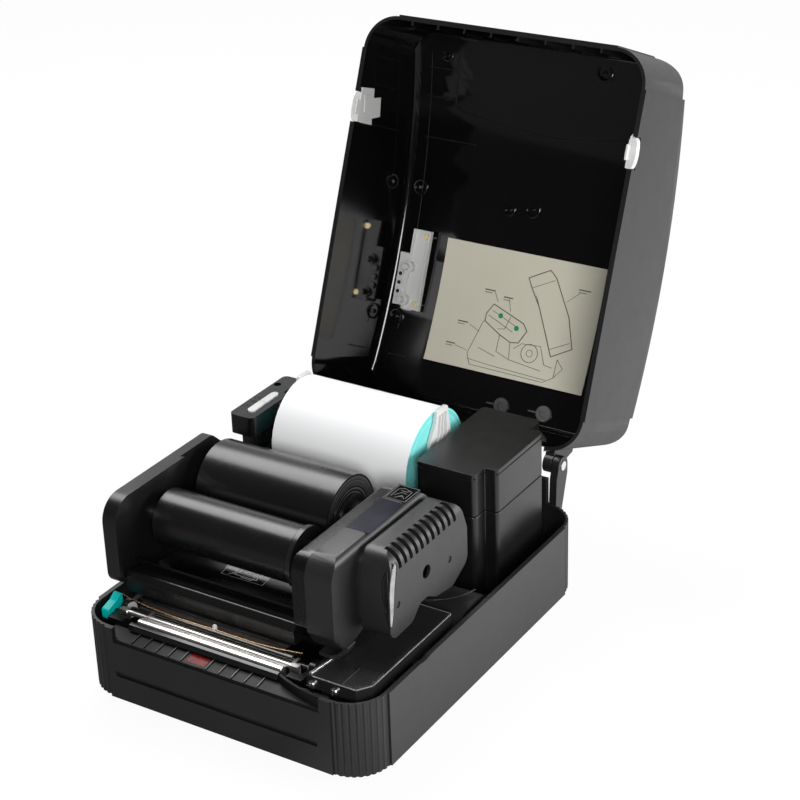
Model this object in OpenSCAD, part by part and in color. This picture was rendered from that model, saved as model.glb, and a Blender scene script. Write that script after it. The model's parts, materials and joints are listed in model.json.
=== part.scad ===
// Desktop thermal-transfer label printer: fluted tub, hinged cover shown open,
// lift-up ribbon carriage, label roll between sliding edge guides.
// X runs to the printer's right, Y to its back and Z up; the table is Z = 0.

/* [Case] */
// Width of the case over its side panels
case_w = 232; // [228:1:240]
// Depth of the case over its front and rear panels
case_d = 288; // [284:1:296]
// Height of the case rim above the table
rim_z = 58; // [57:0.5:60]
// Wall thickness of the case
case_wall = 2.3; // [1.8:0.1:2.6]
// Outer radius of the upright corners
corner_r = 27; // [24:0.5:28]
// How far the flat panels stand proud of the corners
panel_step = 1.2; // [0.8:0.1:1.4]
// Number of flutes on each case corner
flute_count = 9; // [6:1:10]
// Radius of one flute
flute_r = 1.5; // [1:0.1:1.7]
// Height of the rubber feet
foot_h = 3; // [2.5:0.5:4]
// Radius of the rubber feet
foot_r = 8; // [6:0.5:10]
// Height of the sunk line across the front panel
groove_h = 3.8; // [2:0.2:5]

/* [Cover] */
// Height of the closed cover's roof at its crown
closed_h = 156; // [154:0.5:162]
// Radius of the roof's long arch
roof_r = 525; // [480:5:600]
// Wall thickness of the cover
cover_wall = 2.5; // [2:0.1:2.8]
// Radius of the rounded edge between roof and walls
roof_edge_r = 9; // [6:0.5:12]
// Angle from closed to fully open
open_angle = 112; // [95:1:114]
// Radius of the hinge pins
hinge_pin_r = 3.5; // [3:0.1:4]
// Travel of the cover latches
latch_travel = 4; // [2:0.5:5]

/* [Carriage] */
// Angle to which the ribbon carriage lifts
carriage_angle = 32; // [20:1:32]
// Thickness of the left side plate
side_plate_t = 8; // [6:0.5:9]
// Wall thickness of the gear housing
housing_wall = 2.2; // [1.6:0.1:3]
// Room beside the ribbon for the spindle hubs on the drive side
hub_room = 20.3; // [18:0.1:30]
// Outer radius of the full supply ribbon
supply_r = 30; // [22:0.5:31]
// Outer radius of the rewound ribbon
rewind_r = 20; // [17.5:0.5:21]
// Radius of the spindle barrels
barrel_r = 12.6; // [11:0.1:12.8]
// Wall of the ribbon's cardboard core
core_wall = 2.5; // [1.5:0.1:3]
// Number of cooling slots in the gear cover
vent_count = 11; // [7:1:12]
// Radius of the stub pins that the carriage turns on
pivot_r = 3; // [2.5:0.1:3.5]

/* [Print line] */
// Outer radius of the platen rubber
platen_r = 7.5; // [6.5:0.1:7.6]
// Radius of the platen shaft
platen_shaft_r = 2.5; // [2:0.1:2.8]
// Tooth size of the drive gears
gear_module = 0.8; // [0.8:0.1:0.9]
// Teeth on the platen gear
platen_teeth = 18; // [17:1:18]
// Teeth on the motor pinion
pinion_teeth = 14; // [13:1:15]
// Width of the square stepper motor
motor_w = 28; // [24:1:29]

/* [Labels] */
// Room between the label roll and the rear tower
guide_room = 8; // [7.9:0.1:20]
// Outer radius of the label roll's cardboard core
roll_core_r = 14.5; // [13.5:0.5:20]
// Thickness of the sliding edge guides
guide_t = 2.7; // [2:0.1:3]
// Outward travel of each edge guide
guide_travel = 2.7; // [1:0.1:2.8]
// Radius of the label spindle
spindle_r = 6; // [4:0.2:8]

/* [Electronics housings] */
// Height of the rear tower's top above the table
tower_top = 129; // [118:1:132]
// Height of the tower's removable cap
tower_cap_h = 33; // [20:1:45]
// Wall thickness of the tower
tower_wall = 2.2; // [1.6:0.1:3]
// Drop from the closed cover's crown to the operator panel's top
panel_drop = 22.5; // [18:0.5:26]

/* [Hidden] */

$fn = 48;
eps = 0.01;
run_gap = 0.06;      // radial clearance of a shaft in its bore
part_gap = 0.3;      // clearance between neighbours on different bodies

half_w = case_w / 2;
half_d = case_d / 2;
body_x = half_w - panel_step;
body_y = half_d - panel_step;
in_x = body_x - case_wall;
in_y = body_y - case_wall;
floor_t = 2.5;
floor_z = foot_h + floor_t;
panel_half_x = half_w - corner_r;
panel_half_y = half_d - corner_r;
screw_x = half_w - 26;

// Front outlet
outlet_x0 = -half_w + 33;
outlet_x1 = half_w - 35.5;
lip_z = rim_z - 8;
ramp_t = 2.5;
ramp_rear_y = -half_d + 13.5;
rib_pitch = 10.1;
rib_x0 = outlet_x0 + 15;

window_w = 15;
window_d = 8;
window_x = rib_x0 + 5 * rib_pitch;
window_y = -half_d + 6;

// Deck and drive
deck_t = 1.2;
deck_top = rim_z + 3;
deck_x0 = half_w - 54.5;
deck_x1 = half_w - 10.5;
deck_y0 = -half_d + 15.5;
deck_y1 = -half_d + 121;
deck_skirt = 9;
deck_post_r = 3;

// Inner floor
bay_z = 16;
bay_t = 2;
bay_x1 = half_w - 77.8;

// Hinge of the cover
hinge_y = half_d + 10.7;
hinge_z = rim_z + 26.3;
hinge_x = half_w - 32;
arm_t = 7;
post_t = 6;
eye_r = hinge_pin_r + 3.5;
crown_y = 30;
crown_z = closed_h;
rear_rise = hinge_z - 6;
rear_cut_x = panel_half_x - 1;

// Keys in the roof, over the operator panel
bracket_z = closed_h - 10;
bracket_x0 = -half_w + 16.5;
bracket_x1 = bracket_x0 + 20;
bracket_mid = bracket_x0 + 4.5;
key_r = 2.4;

// Latches, in the closed cover's place
latch_y = -half_d + 71;
latch_w = 22;
latch_h = 5.4;

// Carriage
pivot_y = -half_d + 162;
pivot_z = rim_z + 38;
plate_x0 = -half_w + 6;
plate_x1 = plate_x0 + side_plate_t;
web_x1 = plate_x1 + 3;
housing_x0 = half_w - 78;
housing_x1 = half_w - 66.5;
middle_x1 = half_w - 46;
gear_x1 = half_w - 20;
carriage_top = 131;
carriage_front = -half_d + 36;
axis_z = 101;
supply_y = -half_d + 138;
rewind_y = -half_d + 80;
ribbon_x0 = web_x1 + 6.7;
ribbon_len = housing_x0 - ribbon_x0 - hub_room;
journal_r = 5;
post_w = 16;
post_x_left = web_x1 + 0.6;
post_x_right = housing_x0 - 0.6;
carriage_post_t = 4.6;

// Print line
platen_y = -half_d + 33.5;
platen_z = rim_z - 7;
cheek_x0 = -half_w + 18;
cheek_x1 = half_w - 58;
platen_x0 = cheek_x0 + 14;
platen_len = cheek_x1 - 18 - platen_x0;
cheek_t = 4;
frame_y0 = -half_d + 11;
frame_y1 = -half_d + 82;
bush_r = 4.5;
gear_x0 = cheek_x1 + 1.7;
gear_w = 5;
gear_gap = 0.12;
gear_distance = gear_module * (platen_teeth + pinion_teeth) / 2 + gear_gap;
pinion_angle = -45;
pinion_y = platen_y + gear_distance * cos(pinion_angle);
pinion_z = platen_z + gear_distance * sin(pinion_angle);
bracket_x = gear_x0 + gear_w + 0.7;
motor_x0 = bracket_x + 1.3;
motor_len = 32;
lever_y = -half_d + 25;
lever_z = 53;
lever_pin_r = 2;

// Labels
tower_x0 = half_w - 75;
roll_x0 = -half_w + 37;
roll_x1 = tower_x0 - guide_room;
roll_len = roll_x1 - roll_x0;
roll_r = half_d - 105;
roll_y = half_d - 66;
roll_z = 108;
rack_module = 1;
rack_teeth = 16;
rack_pitch_r = rack_module * rack_teeth / 2;
rack_y = roll_y + 8;
rack_z = bay_z + 1;
rack_t = 4;
rack_gap = 0.1;
rack_arm_w = 5;
guide_pinion_x = roll_x0 + roll_len / 2;

// Rear connections
inlet_x = half_w - 54;
inlet_z = 24;
switch_x = half_w - 33;
switch_z = 36;
switch_y = half_d - 1.8;

// Rear tower and operator panel
tower_x1 = half_w - 28.4;
tower_y0 = pivot_y + 21.5;
tower_y1 = half_d - 11;
step_x1 = half_w - 18.5;
step_y0 = tower_y0 + 13.5;
step_y1 = tower_y1 - 15;
head_x0 = -half_w + 7.5;
head_x1 = head_x0 + 20.5;
head_y0 = pivot_y + 12;
head_y1 = head_y0 + 70;
head_h = 15;
panel_top = closed_h - panel_drop;
button_x = head_x1 - 8.5;
button_y = head_y0 + 25.5;
button_l = 17;
button_w = 6;
lens_x = head_x0 + 3.9;
lens_pitch = 7;
lens_r = 1.2;
key_x = button_x + 3;
key_ys = [button_y - 13.5, button_y + 12.5];
screw_ys = [button_y - 38.5, button_y + 14.3];

// ---------- helpers ----------

module block(from, to) {
    translate(from) cube(to - from);
}

module rod_x(x0, x1, y, z, r) {
    translate([x0, y, z]) rotate([0, 90, 0]) cylinder(h = x1 - x0, r = r);
}

module rod_z(x, y, z0, z1, r) {
    translate([x, y, z0]) cylinder(h = z1 - z0, r = r);
}

// Extrudes a Y-Z outline from x0 to x1
module slice_x(x0, x1) {
    translate([x0, 0, 0]) rotate([90, 0, 90]) linear_extrude(x1 - x0) children();
}

// Extrudes an X-Z outline from y0 to y1
module slice_y(y0, y1) {
    translate([0, y1, 0]) rotate([90, 0, 0]) linear_extrude(y1 - y0) children();
}

function unit(v) = v / norm(v);
function wrap(a) = a > 180 ? a - 360 : a < -180 ? a + 360 : a;

// Points of a fillet of radius r at p, between its neighbours a and b
function fillet(a, p, b, r, n = 8) =
    let (u = unit(a - p), v = unit(b - p), half = acos(u * v) / 2,
        c = p + unit(u + v) * r / sin(half),
        s = p + u * r / tan(half), e = p + v * r / tan(half),
        a0 = atan2(s.y - c.y, s.x - c.x), a1 = atan2(e.y - c.y, e.x - c.x),
        sweep = wrap(a1 - a0))
    [for (i = [0 : n]) c + r * [cos(a0 + sweep * i / n), sin(a0 + sweep * i / n)]];

// Polygon whose corners [x, y, radius] are rounded
module rounded(corners) {
    count = len(corners);
    polygon([for (i = [0 : count - 1])
        let (p = corners[i], a = corners[(i + count - 1) % count], b = corners[(i + 1) % count])
        each p[2] > 0
            ? fillet([a[0], a[1]], [p[0], p[1]], [b[0], b[1]], p[2])
            : [[p[0], p[1]]]]);
}

module round_rect(x0, y0, x1, y1, r) {
    union() {
        translate([x0 + r, y0]) square([x1 - x0 - 2 * r, y1 - y0]);
        translate([x0, y0 + r]) square([x1 - x0, y1 - y0 - 2 * r]);
        for (x = [x0 + r, x1 - r], y = [y0 + r, y1 - r]) translate([x, y]) circle(r = r);
    }
}

module plan(inset) {
    round_rect(-half_w + inset, -half_d + inset, half_w - inset, half_d - inset,
        corner_r - inset);
}

// Flat panels that stand proud of the rounded corners
module proud_panels(z0, z1) {
    block([-panel_half_x, -half_d, z0], [panel_half_x, -half_d + 2 * panel_step, z1]);
    block([-panel_half_x, half_d - 2 * panel_step, z0], [panel_half_x, half_d, z1]);
    for (s = [-1, 1])
        block([min(s * half_w, s * (half_w - 2 * panel_step)), -panel_half_y, z0],
            [max(s * half_w, s * (half_w - 2 * panel_step)), panel_half_y, z1]);
}

module flutes() {
    for (sx = [-1, 1], sy = [-1, 1], i = [0 : flute_count - 1])
        let (a = 90 * (i + 0.5) / flute_count, r = corner_r - panel_step + flute_r * 0.5)
        translate([sx * (panel_half_x + r * cos(a)), sy * (panel_half_y + r * sin(a))])
            circle(r = flute_r, $fn = 16);
}

// Involute spur gear, turned so that one tooth points along its 2D +X axis
function involute_point(base, a, turn) =
    let (t = a * PI / 180)
    base * [cos(a + turn) + t * sin(a + turn), sin(a + turn) - t * cos(a + turn)];
function roll_angle(base, r) = sqrt(max(0, pow(r / base, 2) - 1)) * 180 / PI;

module gear_outline(m, teeth, slack = 0.12) {
    pitch = m * teeth / 2;
    base = pitch * cos(20);
    tip = pitch + 0.9 * m;
    root = pitch - 1.2 * m;
    start = max(base, root);
    inv_pitch = roll_angle(base, pitch) - 20;
    half = 90 / teeth - slack / pitch * 90 / PI + inv_pitch;
    flank = [for (k = [0 : 4]) let (r = start + (tip - start) * k / 4)
        involute_point(base, roll_angle(base, r), -half)];
    mirrored = [for (k = [4 : -1 : 0]) [flank[k].x, -flank[k].y]];
    union() {
        circle(r = root + 0.02);
        for (i = [0 : teeth - 1]) rotate(i * 360 / teeth)
            polygon(concat([[root * 0.8, flank[0].y]], flank, mirrored,
                [[root * 0.8, -flank[0].y]]));
    }
}

// Straight rack whose teeth point to +Y, centred on x = 0
module rack_outline(m, length, back) {
    pitch = PI * m;
    count = floor(length / pitch / 2);
    tip = 0.9 * m;
    root = 1.2 * m;
    half = pitch / 4 - 0.06;
    slope = tan(20);
    union() {
        translate([-length / 2, -root - back]) square([length, back]);
        for (i = [-count : count]) translate([i * pitch, 0])
            polygon([[-half - root * slope, -root - eps], [half + root * slope, -root - eps],
                [half - tip * slope, tip], [-half + tip * slope, tip]]);
    }
}

// ---------- case ----------

module case_shell() {
    color("#1b1b1d") difference() {
        union() {
            translate([0, 0, foot_h]) linear_extrude(rim_z - foot_h)
                difference() {
                    plan(panel_step);
                    flutes();
                }
            proud_panels(foot_h, rim_z);
            block([-rear_cut_x, in_y - eps, rim_z - 1], [rear_cut_x, half_d, rear_rise]);
        }
        difference() {
            translate([0, 0, floor_z]) linear_extrude(closed_h) plan(panel_step + case_wall);
            for (p = [[deck_x1 - 7.5, deck_y0 + 9], [deck_x1 - 5.5, deck_y1 - 7],
                    [deck_x0 + 4.5, deck_y1 - 7]])
                rod_z(p[0], p[1], floor_z - eps, deck_top - deck_t, deck_post_r);
        }
        // outlet opening and the sunk line below it
        block([outlet_x0, -half_d - 1, lip_z - ramp_t], [outlet_x1, -in_y + 1, closed_h]);
        block([outlet_x0, -half_d - 1, foot_h + 18], [outlet_x1 - 2.5, -half_d + 1.8,
            foot_h + 18 + groove_h]);
        // shallow dips in the side rims for the cover latches
        for (s = [-1, 1]) translate([s * (half_w + in_x) / 2, latch_y, rim_z + 21])
            rotate([0, 90, 0]) cylinder(h = 12, r = 22, center = true);
        // rear openings for the inlet, the switch and the data ports
        block([inlet_x - 14, in_y - 1, inlet_z - 10], [inlet_x + 14, half_d + 1, inlet_z + 10]);
        block([switch_x - 5, in_y - 1, switch_z - 7.5], [switch_x + 5, half_d + 1,
            switch_z + 7.5]);
        rod_x(switch_x - 6.2, switch_x + 6.2, switch_y, switch_z, 1.2 + run_gap);
        block([-20, in_y - 1, 20], [20, half_d + 1, 34]);
        for (x = [-screw_x, screw_x], y = [-60, 60]) {
            rod_z(x, y, -1, foot_h + 20, 1.8);
            rod_z(x, y, -1, foot_h + 1.2, 3.3);
        }
    }
}

module rubber_feet() {
    color("#222222") for (x = [30 - half_w, half_w - 30], y = [28 - half_d, half_d - 28])
        difference() {
            rod_z(x, y, 0, foot_h, foot_r);
            rod_z(x, y, -eps, 1, foot_r / 2.5);
        }
}

module base_screws() {
    color("silver") for (x = [-screw_x, screw_x], y = [-60, 60]) {
        difference() {
            rod_z(x, y, foot_h, foot_h + 1.2, 3);
            block([x - 2, y - 0.4, foot_h - 1], [x + 2, y + 0.4, foot_h + 0.6]);
        }
        rod_z(x, y, foot_h + 1.2 - eps, floor_z + 6, 1.45);
    }
}

// Inner moulding under the label roll, with the channels of the edge guides
module bay_floor() {
    rail = 1.6;
    color("#202022") difference() {
        union() {
            translate([0, 0, bay_z - bay_t]) linear_extrude(bay_t) intersection() {
                plan(panel_step + case_wall + 0.5);
                translate([-half_w, pivot_y - 58]) square([bay_x1 + half_w,
                    in_y - 2 - pivot_y + 58]);
            }
            for (x = [-screw_x, 0], y = [pivot_y - 38, pivot_y + 42, in_y - 10.5])
                block([x - 5, y - 5, floor_z], [x + 5, y + 5, bay_z - bay_t + eps]);
            for (y = [pivot_y - 38, pivot_y + 42, in_y - 10.5])
                block([bay_x1 - 12, y - 3, floor_z], [bay_x1 - 6, y + 3, bay_z - bay_t + eps]);
            for (s = [-1, 1]) let (y = rack_y + s * (rack_pitch_r + rack_gap + 1.2 * rack_module
                    + rack_arm_w + part_gap))
                block([roll_x0 + 0.5, min(y, y + s * rail), bay_z - eps], [roll_x1 - 0.5,
                    max(y, y + s * rail), rack_z + rack_t]);
            rod_z(guide_pinion_x, rack_y, bay_z - eps, rack_z + rack_t, 2.5);
        }
        rod_z(-screw_x, 60, floor_z - 1, floor_z + 7, 1.6);
    }
}

// ---------- print line ----------

module print_frame() {
    color("#1c1c1e") difference() {
        union() {
            block([cheek_x0, frame_y0, bay_z - bay_t], [cheek_x1, frame_y1, bay_z]);
            for (x = [cheek_x0 + 18, cheek_x0 + 78, cheek_x1 - 18],
                    y = [frame_y0 + 6, frame_y1 - 6])
                block([x - 4, y - 4, floor_z], [x + 4, y + 4, bay_z - bay_t + eps]);
            // front wall under the tear bar
            block([cheek_x0, frame_y0, bay_z - eps], [cheek_x1, frame_y0 + 2.5, lip_z - 3]);
            for (x = [cheek_x0, cheek_x1 - 12])
                block([x, frame_y0 + 3.5, bay_z - eps], [x + 12, frame_y0 + 10, rim_z - 3]);
            for (x = [cheek_x0, cheek_x1 - cheek_t]) {
                block([x, frame_y0 + 2, bay_z - eps], [x + cheek_t, frame_y0 + 6, lip_z - 3]);
                block([x, frame_y0 + 3.5, bay_z - eps], [x + cheek_t, platen_y + 12.5,
                    rim_z - 3]);
                rod_x(x, x + cheek_t, platen_y, platen_z, bush_r + 2.6);
            }
            // pivot pin of the release lever
            rod_x(cheek_x0 - 9, cheek_x0 + eps, lever_y, lever_z, lever_pin_r);
        }
        rod_x(cheek_x0 - 1, cheek_x1 + 1, platen_y, platen_z, bush_r);
    }
}

module ramp_wall_arc(r) {
    translate([outlet_x1 + 4, -half_d + 104]) circle(r = r, $fn = 96);
}

module outlet_ramp() {
    color("#1f1f21") difference() {
        union() {
            intersection() {
                slice_x(outlet_x0 - 8, outlet_x1) polygon([[-half_d + 0.4, lip_z - ramp_t],
                    [ramp_rear_y, lip_z - ramp_t], [ramp_rear_y, lip_z + 1.6],
                    [-half_d + 0.4, lip_z]]);
                linear_extrude(rim_z) polygon([[outlet_x0, -half_d], [outlet_x1, -half_d],
                    [outlet_x1, ramp_rear_y], [outlet_x0 - 8, ramp_rear_y],
                    [outlet_x0 - 8, -in_y + 2], [outlet_x0, -in_y]]);
            }
            for (i = [0 : 10]) if (i != 5)
                slice_x(rib_x0 + i * rib_pitch - 0.4, rib_x0 + i * rib_pitch + 0.4)
                    polygon([[-half_d + 1, lip_z - 1], [ramp_rear_y - 1, lip_z - 1],
                        [ramp_rear_y - 1, lip_z + 2.2], [-half_d + 1, lip_z + 0.7]]);
            // curved wall that sweeps to the right-hand end of the outlet
            translate([0, 0, lip_z - ramp_t]) linear_extrude(rim_z - lip_z + ramp_t - 0.5)
                intersection() {
                    difference() {
                        ramp_wall_arc(102);
                        ramp_wall_arc(100);
                    }
                    translate([outlet_x1 - 36.5, -half_d + 2]) square([36.5, 11.3]);
                }
        }
        block([window_x - window_w / 2, window_y - window_d / 2 + 1, lip_z - 8],
            [window_x + window_w / 2, window_y + window_d / 2 + 1, lip_z + 8]);
    }
}

module sensor_window() {
    color("#7a0d0d") slice_x(window_x - window_w / 2, window_x + window_w / 2)
        polygon([[window_y - window_d / 2 + 1, lip_z - ramp_t],
            [window_y + window_d / 2 + 1, lip_z - ramp_t],
            [window_y + window_d / 2 + 1, lip_z + 1.2],
            [window_y - window_d / 2 + 1, lip_z + 0.3]]);
}

module deck_plan(inset) {
    rounded([[deck_x0 + inset, deck_y0 + inset, 0], [deck_x1 - 7 - inset / 2, deck_y0 + inset, 0],
        [deck_x1 - inset, deck_y0 + 10 + inset / 2, 0], [deck_x1 - inset, deck_y1, 0],
        [deck_x0 + inset, deck_y1, 0]]);
}

// Folded steel plate over the drive, with skirts at its front and right
module metal_deck() {
    color("#26272a") difference() {
        translate([0, 0, deck_top - deck_skirt]) linear_extrude(deck_skirt) deck_plan(0);
        translate([0, 0, deck_top - deck_skirt - 1]) linear_extrude(deck_skirt + 1 - deck_t)
            union() {
                deck_plan(deck_t);
                translate([deck_x0 - 1, deck_y0 + deck_t]) square([12, deck_y1 - deck_y0]);
                translate([deck_x0 + deck_t, deck_y1 - 5])
                    square([deck_x1 - deck_x0 - 2 * deck_t, 10]);
            }
        block([deck_x0 + 1.5, deck_y0 + 5, deck_top - 3], [deck_x0 + 4.3, deck_y0 + 23,
            deck_top + 1]);
        for (x = [deck_x0 + 4.5, deck_x0 + 21.5]) translate([x, deck_y0 + 3, deck_top - 6]) rotate([90, 0, 0])
            cylinder(h = 6, r = 1.6);
    }
}

module deck_screws() {
    color("silver") for (x = [deck_x0 + 4.5, deck_x0 + 21.5]) translate([x, deck_y0, deck_top - 6])
        rotate([90, 0, 0]) difference() {
            union() {
                cylinder(h = 1.8, r = 3);
                translate([0, 0, -5]) cylinder(h = 5 + eps, r = 1.5);
            }
            for (a = [0, 90]) rotate(a) translate([-2, -0.4, 0.9]) cube([4, 0.8, 2]);
        }
}

// Rounded cover between the deck and the tower
module rear_hump() {
    x0 = deck_x0 + 1;
    x1 = in_x - 4;
    color("#1d1d1f") difference() {
        slice_x(x0, x1) intersection() {
            translate([pivot_y - 17, rim_z - 22]) circle(r = 24, $fn = 96);
            translate([pivot_y - 40.5, floor_z]) square([47, closed_h]);
        }
        slice_x(x0 + 2, x1 - 2) intersection() {
            translate([pivot_y - 17, rim_z - 22]) circle(r = 22, $fn = 96);
            translate([pivot_y - 38.5, 0]) square([43, closed_h]);
        }
        block([x0 - 1, pivot_y - 48, 0], [x1 + 1, pivot_y + 12, rim_z - 24]);
    }
    color("#1d1d1f") for (x = [x0 + 6, x1 - 6], y = [pivot_y - 39.4, pivot_y + 4.4])
        block([x - 3, y - 1, floor_z], [x + 3, y + 1, rim_z - 24 + eps]);
}

module tear_bar() {
    x0 = cheek_x0 + 24;
    x1 = cheek_x1 - 16;
    color("#d8d8d4") slice_x(x0, x1) rounded([[frame_y0 + 4.4, rim_z - 11, 0],
        [frame_y0 + 10.4, rim_z - 11, 0], [frame_y0 + 10.4, rim_z - 0.6, 1.2],
        [frame_y0 + 7.4, rim_z + 0.7, 4], [frame_y0 + 4.4, rim_z - 0.2, 1.2]]);
}

module tear_bar_cover() {
    color("#161617") slice_x(cheek_x0 + 20, cheek_x1 - 16)
        rounded([[frame_y0 - 0.5, lip_z + 2.6, 0], [frame_y0 + 4.1, lip_z + 2.6, 0],
            [frame_y0 + 4.1, rim_z - 1, 0.8], [frame_y0 + 0.6, rim_z - 1.8, 1]]);
}

module platen_bearings() {
    color("#e6e3da") for (x = [cheek_x0, cheek_x1 - cheek_t])
        difference() {
            union() {
                rod_x(x, x + cheek_t, platen_y, platen_z, bush_r);
                rod_x(x == cheek_x0 ? x + cheek_t : x - 1, x == cheek_x0 ? x + cheek_t + 1 : x,
                    platen_y, platen_z, bush_r + 1.2);
            }
            rod_x(x - 2, x + cheek_t + 2, platen_y, platen_z, platen_shaft_r + run_gap);
        }
}

module guide_rod() {
    color("#c9c9c6") rod_x(cheek_x0 + 10, cheek_x1 - 12, frame_y0 + 12.9, rim_z - 1.6, 1.7);
    color("#1a1a1b") for (x = [cheek_x0 + cheek_t, cheek_x1 - 14])
        block([x, frame_y0 + 10.9, rim_z - 8], [x + 6, frame_y0 + 14.9, rim_z + 0.2]);
}

// Sprung wire that keeps the web down in front of the head
module hold_down_wire() {
    color("#b98a55") {
        rod_x(cheek_x0 + cheek_t + 4, cheek_x1 - 6, frame_y0 + 16.2, rim_z + 0.8, 0.5);
        for (x = [cheek_x0 + cheek_t + 5.2, cheek_x1 - 7.2])
            block([x - 1, frame_y0 + 15.2, rim_z - 8], [x + 1, frame_y0 + 17.2, rim_z + 0.4]);
    }
}

// ---------- carriage ----------

module carriage_posts() {
    color("#1e1e20") for (x = [post_x_left, post_x_right - carriage_post_t])
        difference() {
            union() {
                block([x, pivot_y - post_w / 2, bay_z], [x + carriage_post_t,
                    pivot_y + post_w / 2, pivot_z]);
                rod_x(x, x + carriage_post_t, pivot_y, pivot_z, post_w / 2);
            }
            rod_x(x - 1, x + carriage_post_t + 1, pivot_y, pivot_z, pivot_r + run_gap);
        }
}

module spindle_bores(x0, x1, r) {
    for (y = [supply_y, rewind_y]) rod_x(x0, x1, y, axis_z, r);
}

module left_plate() {
    color("#232325") difference() {
        union() {
            slice_x(plate_x0, plate_x1) at_front() rounded([[-4, 67, 10],
                [-4, carriage_top, 17], [109, carriage_top, 7], [126, 115, 5], [137, 99, 8],
                [137, 76, 8], [128, 67, 6]]);
            for (y = [supply_y, rewind_y])
                rod_x(plate_x1 - eps, web_x1, y, axis_z, journal_r + 4);
            rod_x(plate_x1 - eps, web_x1, pivot_y, pivot_z, pivot_r + 4);
            rod_x(plate_x1 - 1, post_x_left + carriage_post_t, pivot_y, pivot_z, pivot_r);
            // inner rim that stiffens the plate
            slice_x(plate_x1 - eps, web_x1) at_front() difference() {
                rounded([[-4, 67, 10], [-4, carriage_top, 17], [78, carriage_top, 7],
                    [78, 67, 6]]);
                rounded([[-1, 70, 7], [-1, carriage_top - 3, 14], [79, carriage_top - 3, 0],
                    [79, 70, 0]]);
            }
        }
        spindle_bores(plate_x0 - 1, web_x1 + 1, journal_r + run_gap);
        // long recess in the outer face
        slice_x(plate_x0 - 1, plate_x0 + 1.5) at_front() rounded([[7, 76, 6], [7, 121, 10],
            [104, 121, 6], [122, 104, 6], [122, 76, 6]]);
    }
}

// Y-Z outline drawn from the carriage's front
module at_front() {
    translate([carriage_front, 0]) children();
}

module housing_profile(i) {
    at_front() rounded([[25 - i, 65 + i, 3], [7 + i / 2, 65 + i, 3], [i, 77 + i / 2, 5],
        [i, carriage_top - i, 15 - i], [110 - i / 2, carriage_top - i, 14],
        [126 - i, 112 - i / 2, 8], [126 - i, 78 + i / 2, 8], [110 - i / 2, 68 + i, 8],
        [34, 68 + i, 6]]);
}

// Housing slice whose upper edges are rounded from left to right
module housing_block(x0, x1, i, left, right) {
    intersection() {
        slice_x(x0, x1) housing_profile(i);
        slice_y(carriage_front - 1, carriage_front + 140) rounded([[x0, 50, 0], [x1, 50, 0],
            [x1, carriage_top - i, right], [x0, carriage_top - i, left]]);
    }
}

// Ring-shaped housing that carries the right-hand ends of the spindles
module inner_housing() {
    color("#29292b") difference() {
        union() {
            housing_block(housing_x0, housing_x1, 2, 4, 0);
            rod_x(post_x_right - carriage_post_t, housing_x0 + 1, pivot_y, pivot_z, pivot_r);
        }
        slice_x(housing_x0 + 3, housing_x1 + 1) housing_profile(3.5 + housing_wall);
        spindle_bores(housing_x0 - 1, housing_x0 + 4, journal_r + run_gap);
    }
    color("#29292b") for (y = [supply_y, rewind_y]) difference() {
        rod_x(housing_x0 + 3 - eps, housing_x1 - 1, y, axis_z, journal_r + 3);
        rod_x(housing_x0, housing_x1, y, axis_z, journal_r + run_gap);
    }
}

module middle_cover() {
    color("#1f1f21") difference() {
        housing_block(housing_x1, middle_x1, 0, 2, 6);
        slice_x(housing_x1 - 1, middle_x1 - housing_wall) housing_profile(housing_wall + 1.5);
        slice_x(middle_x1 - housing_wall - 1, middle_x1 + 1) peanut(7);
    }
}

module peanut(i) {
    at_front() rounded([[30 + i, 129 - i, 12], [114 - i, 128 - i, 10],
        [122.5 - i, 105 - i / 2, 10], [122.5 - i, 80 + i, 9], [102.5, 70 + i, 8],
        [82, 73 + i, 6], [71, 79 + i, 4], [62, 79 + i, 4], [52, 70 + i, 6],
        [25.5 + i, 69 + i, 8], [25.5 + i, 104, 20]]);
}

module peanut_block(x0, x1, i) {
    intersection() {
        slice_x(x0, x1) peanut(i);
        slice_y(carriage_front + 18, carriage_front + 128) rounded([[x0 - 1, 60, 0],
            [x1, 60, 0], [x1, 129 - i, 12 - i / 2], [x0 - 1, 129 - i, 1]]);
    }
}

// Waisted outer housing over the winding gears, slotted along its top edge
module gear_cover() {
    groove_x = middle_x1 + 4;
    color("#262628") difference() {
        union() {
            peanut_block(groove_x, gear_x1, 0);
            slice_x(middle_x1, groove_x + 1) peanut(3);
        }
        peanut_block(middle_x1 - 1, gear_x1 - housing_wall, 3 + housing_wall);
        rod_x(gear_x1 - 4, gear_x1 + 1, carriage_front + 70.5, axis_z - 3, 4.75);
        for (y = [35.5, 99.5]) rod_x(gear_x1 - 0.9, gear_x1 + 1, carriage_front + y,
            axis_z - 9, 2.4);
        for (i = [0 : vent_count - 1]) let (y = carriage_front + 38 + i * 74 / vent_count)
            block([gear_x1 - 11, y, 117], [gear_x1 + 1, y + 3.4, 131]);
    }
}

// Curved film guide that ties the two ends of the carriage together
module film_guide() {
    color("#19191b") slice_x(web_x1, housing_x0) union() {
        at_front() rounded([[1, 62, 1.5], [1, 73, 2.5], [5, 77, 2], [9.5, 76, 1.5],
            [9.5, 62, 1]]);
        intersection() {
            difference() {
                translate([rewind_y, axis_z]) circle(r = 37, $fn = 96);
                translate([rewind_y, axis_z]) circle(r = 35, $fn = 96);
            }
            at_front() translate([10, 60]) square([66, 21]);
        }
        at_front() polygon([[9, 72], [9, 76], [17, 75.5], [18, 74]]);
    }
}

module printhead_bracket() {
    color("#8f9296") slice_x(cheek_x0 + 12, cheek_x1 - 24) at_front()
        polygon([[-1, 60.4], [14, 60.4], [14, 68], [12, 68], [12, 62], [-1, 62]]);
}

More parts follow.
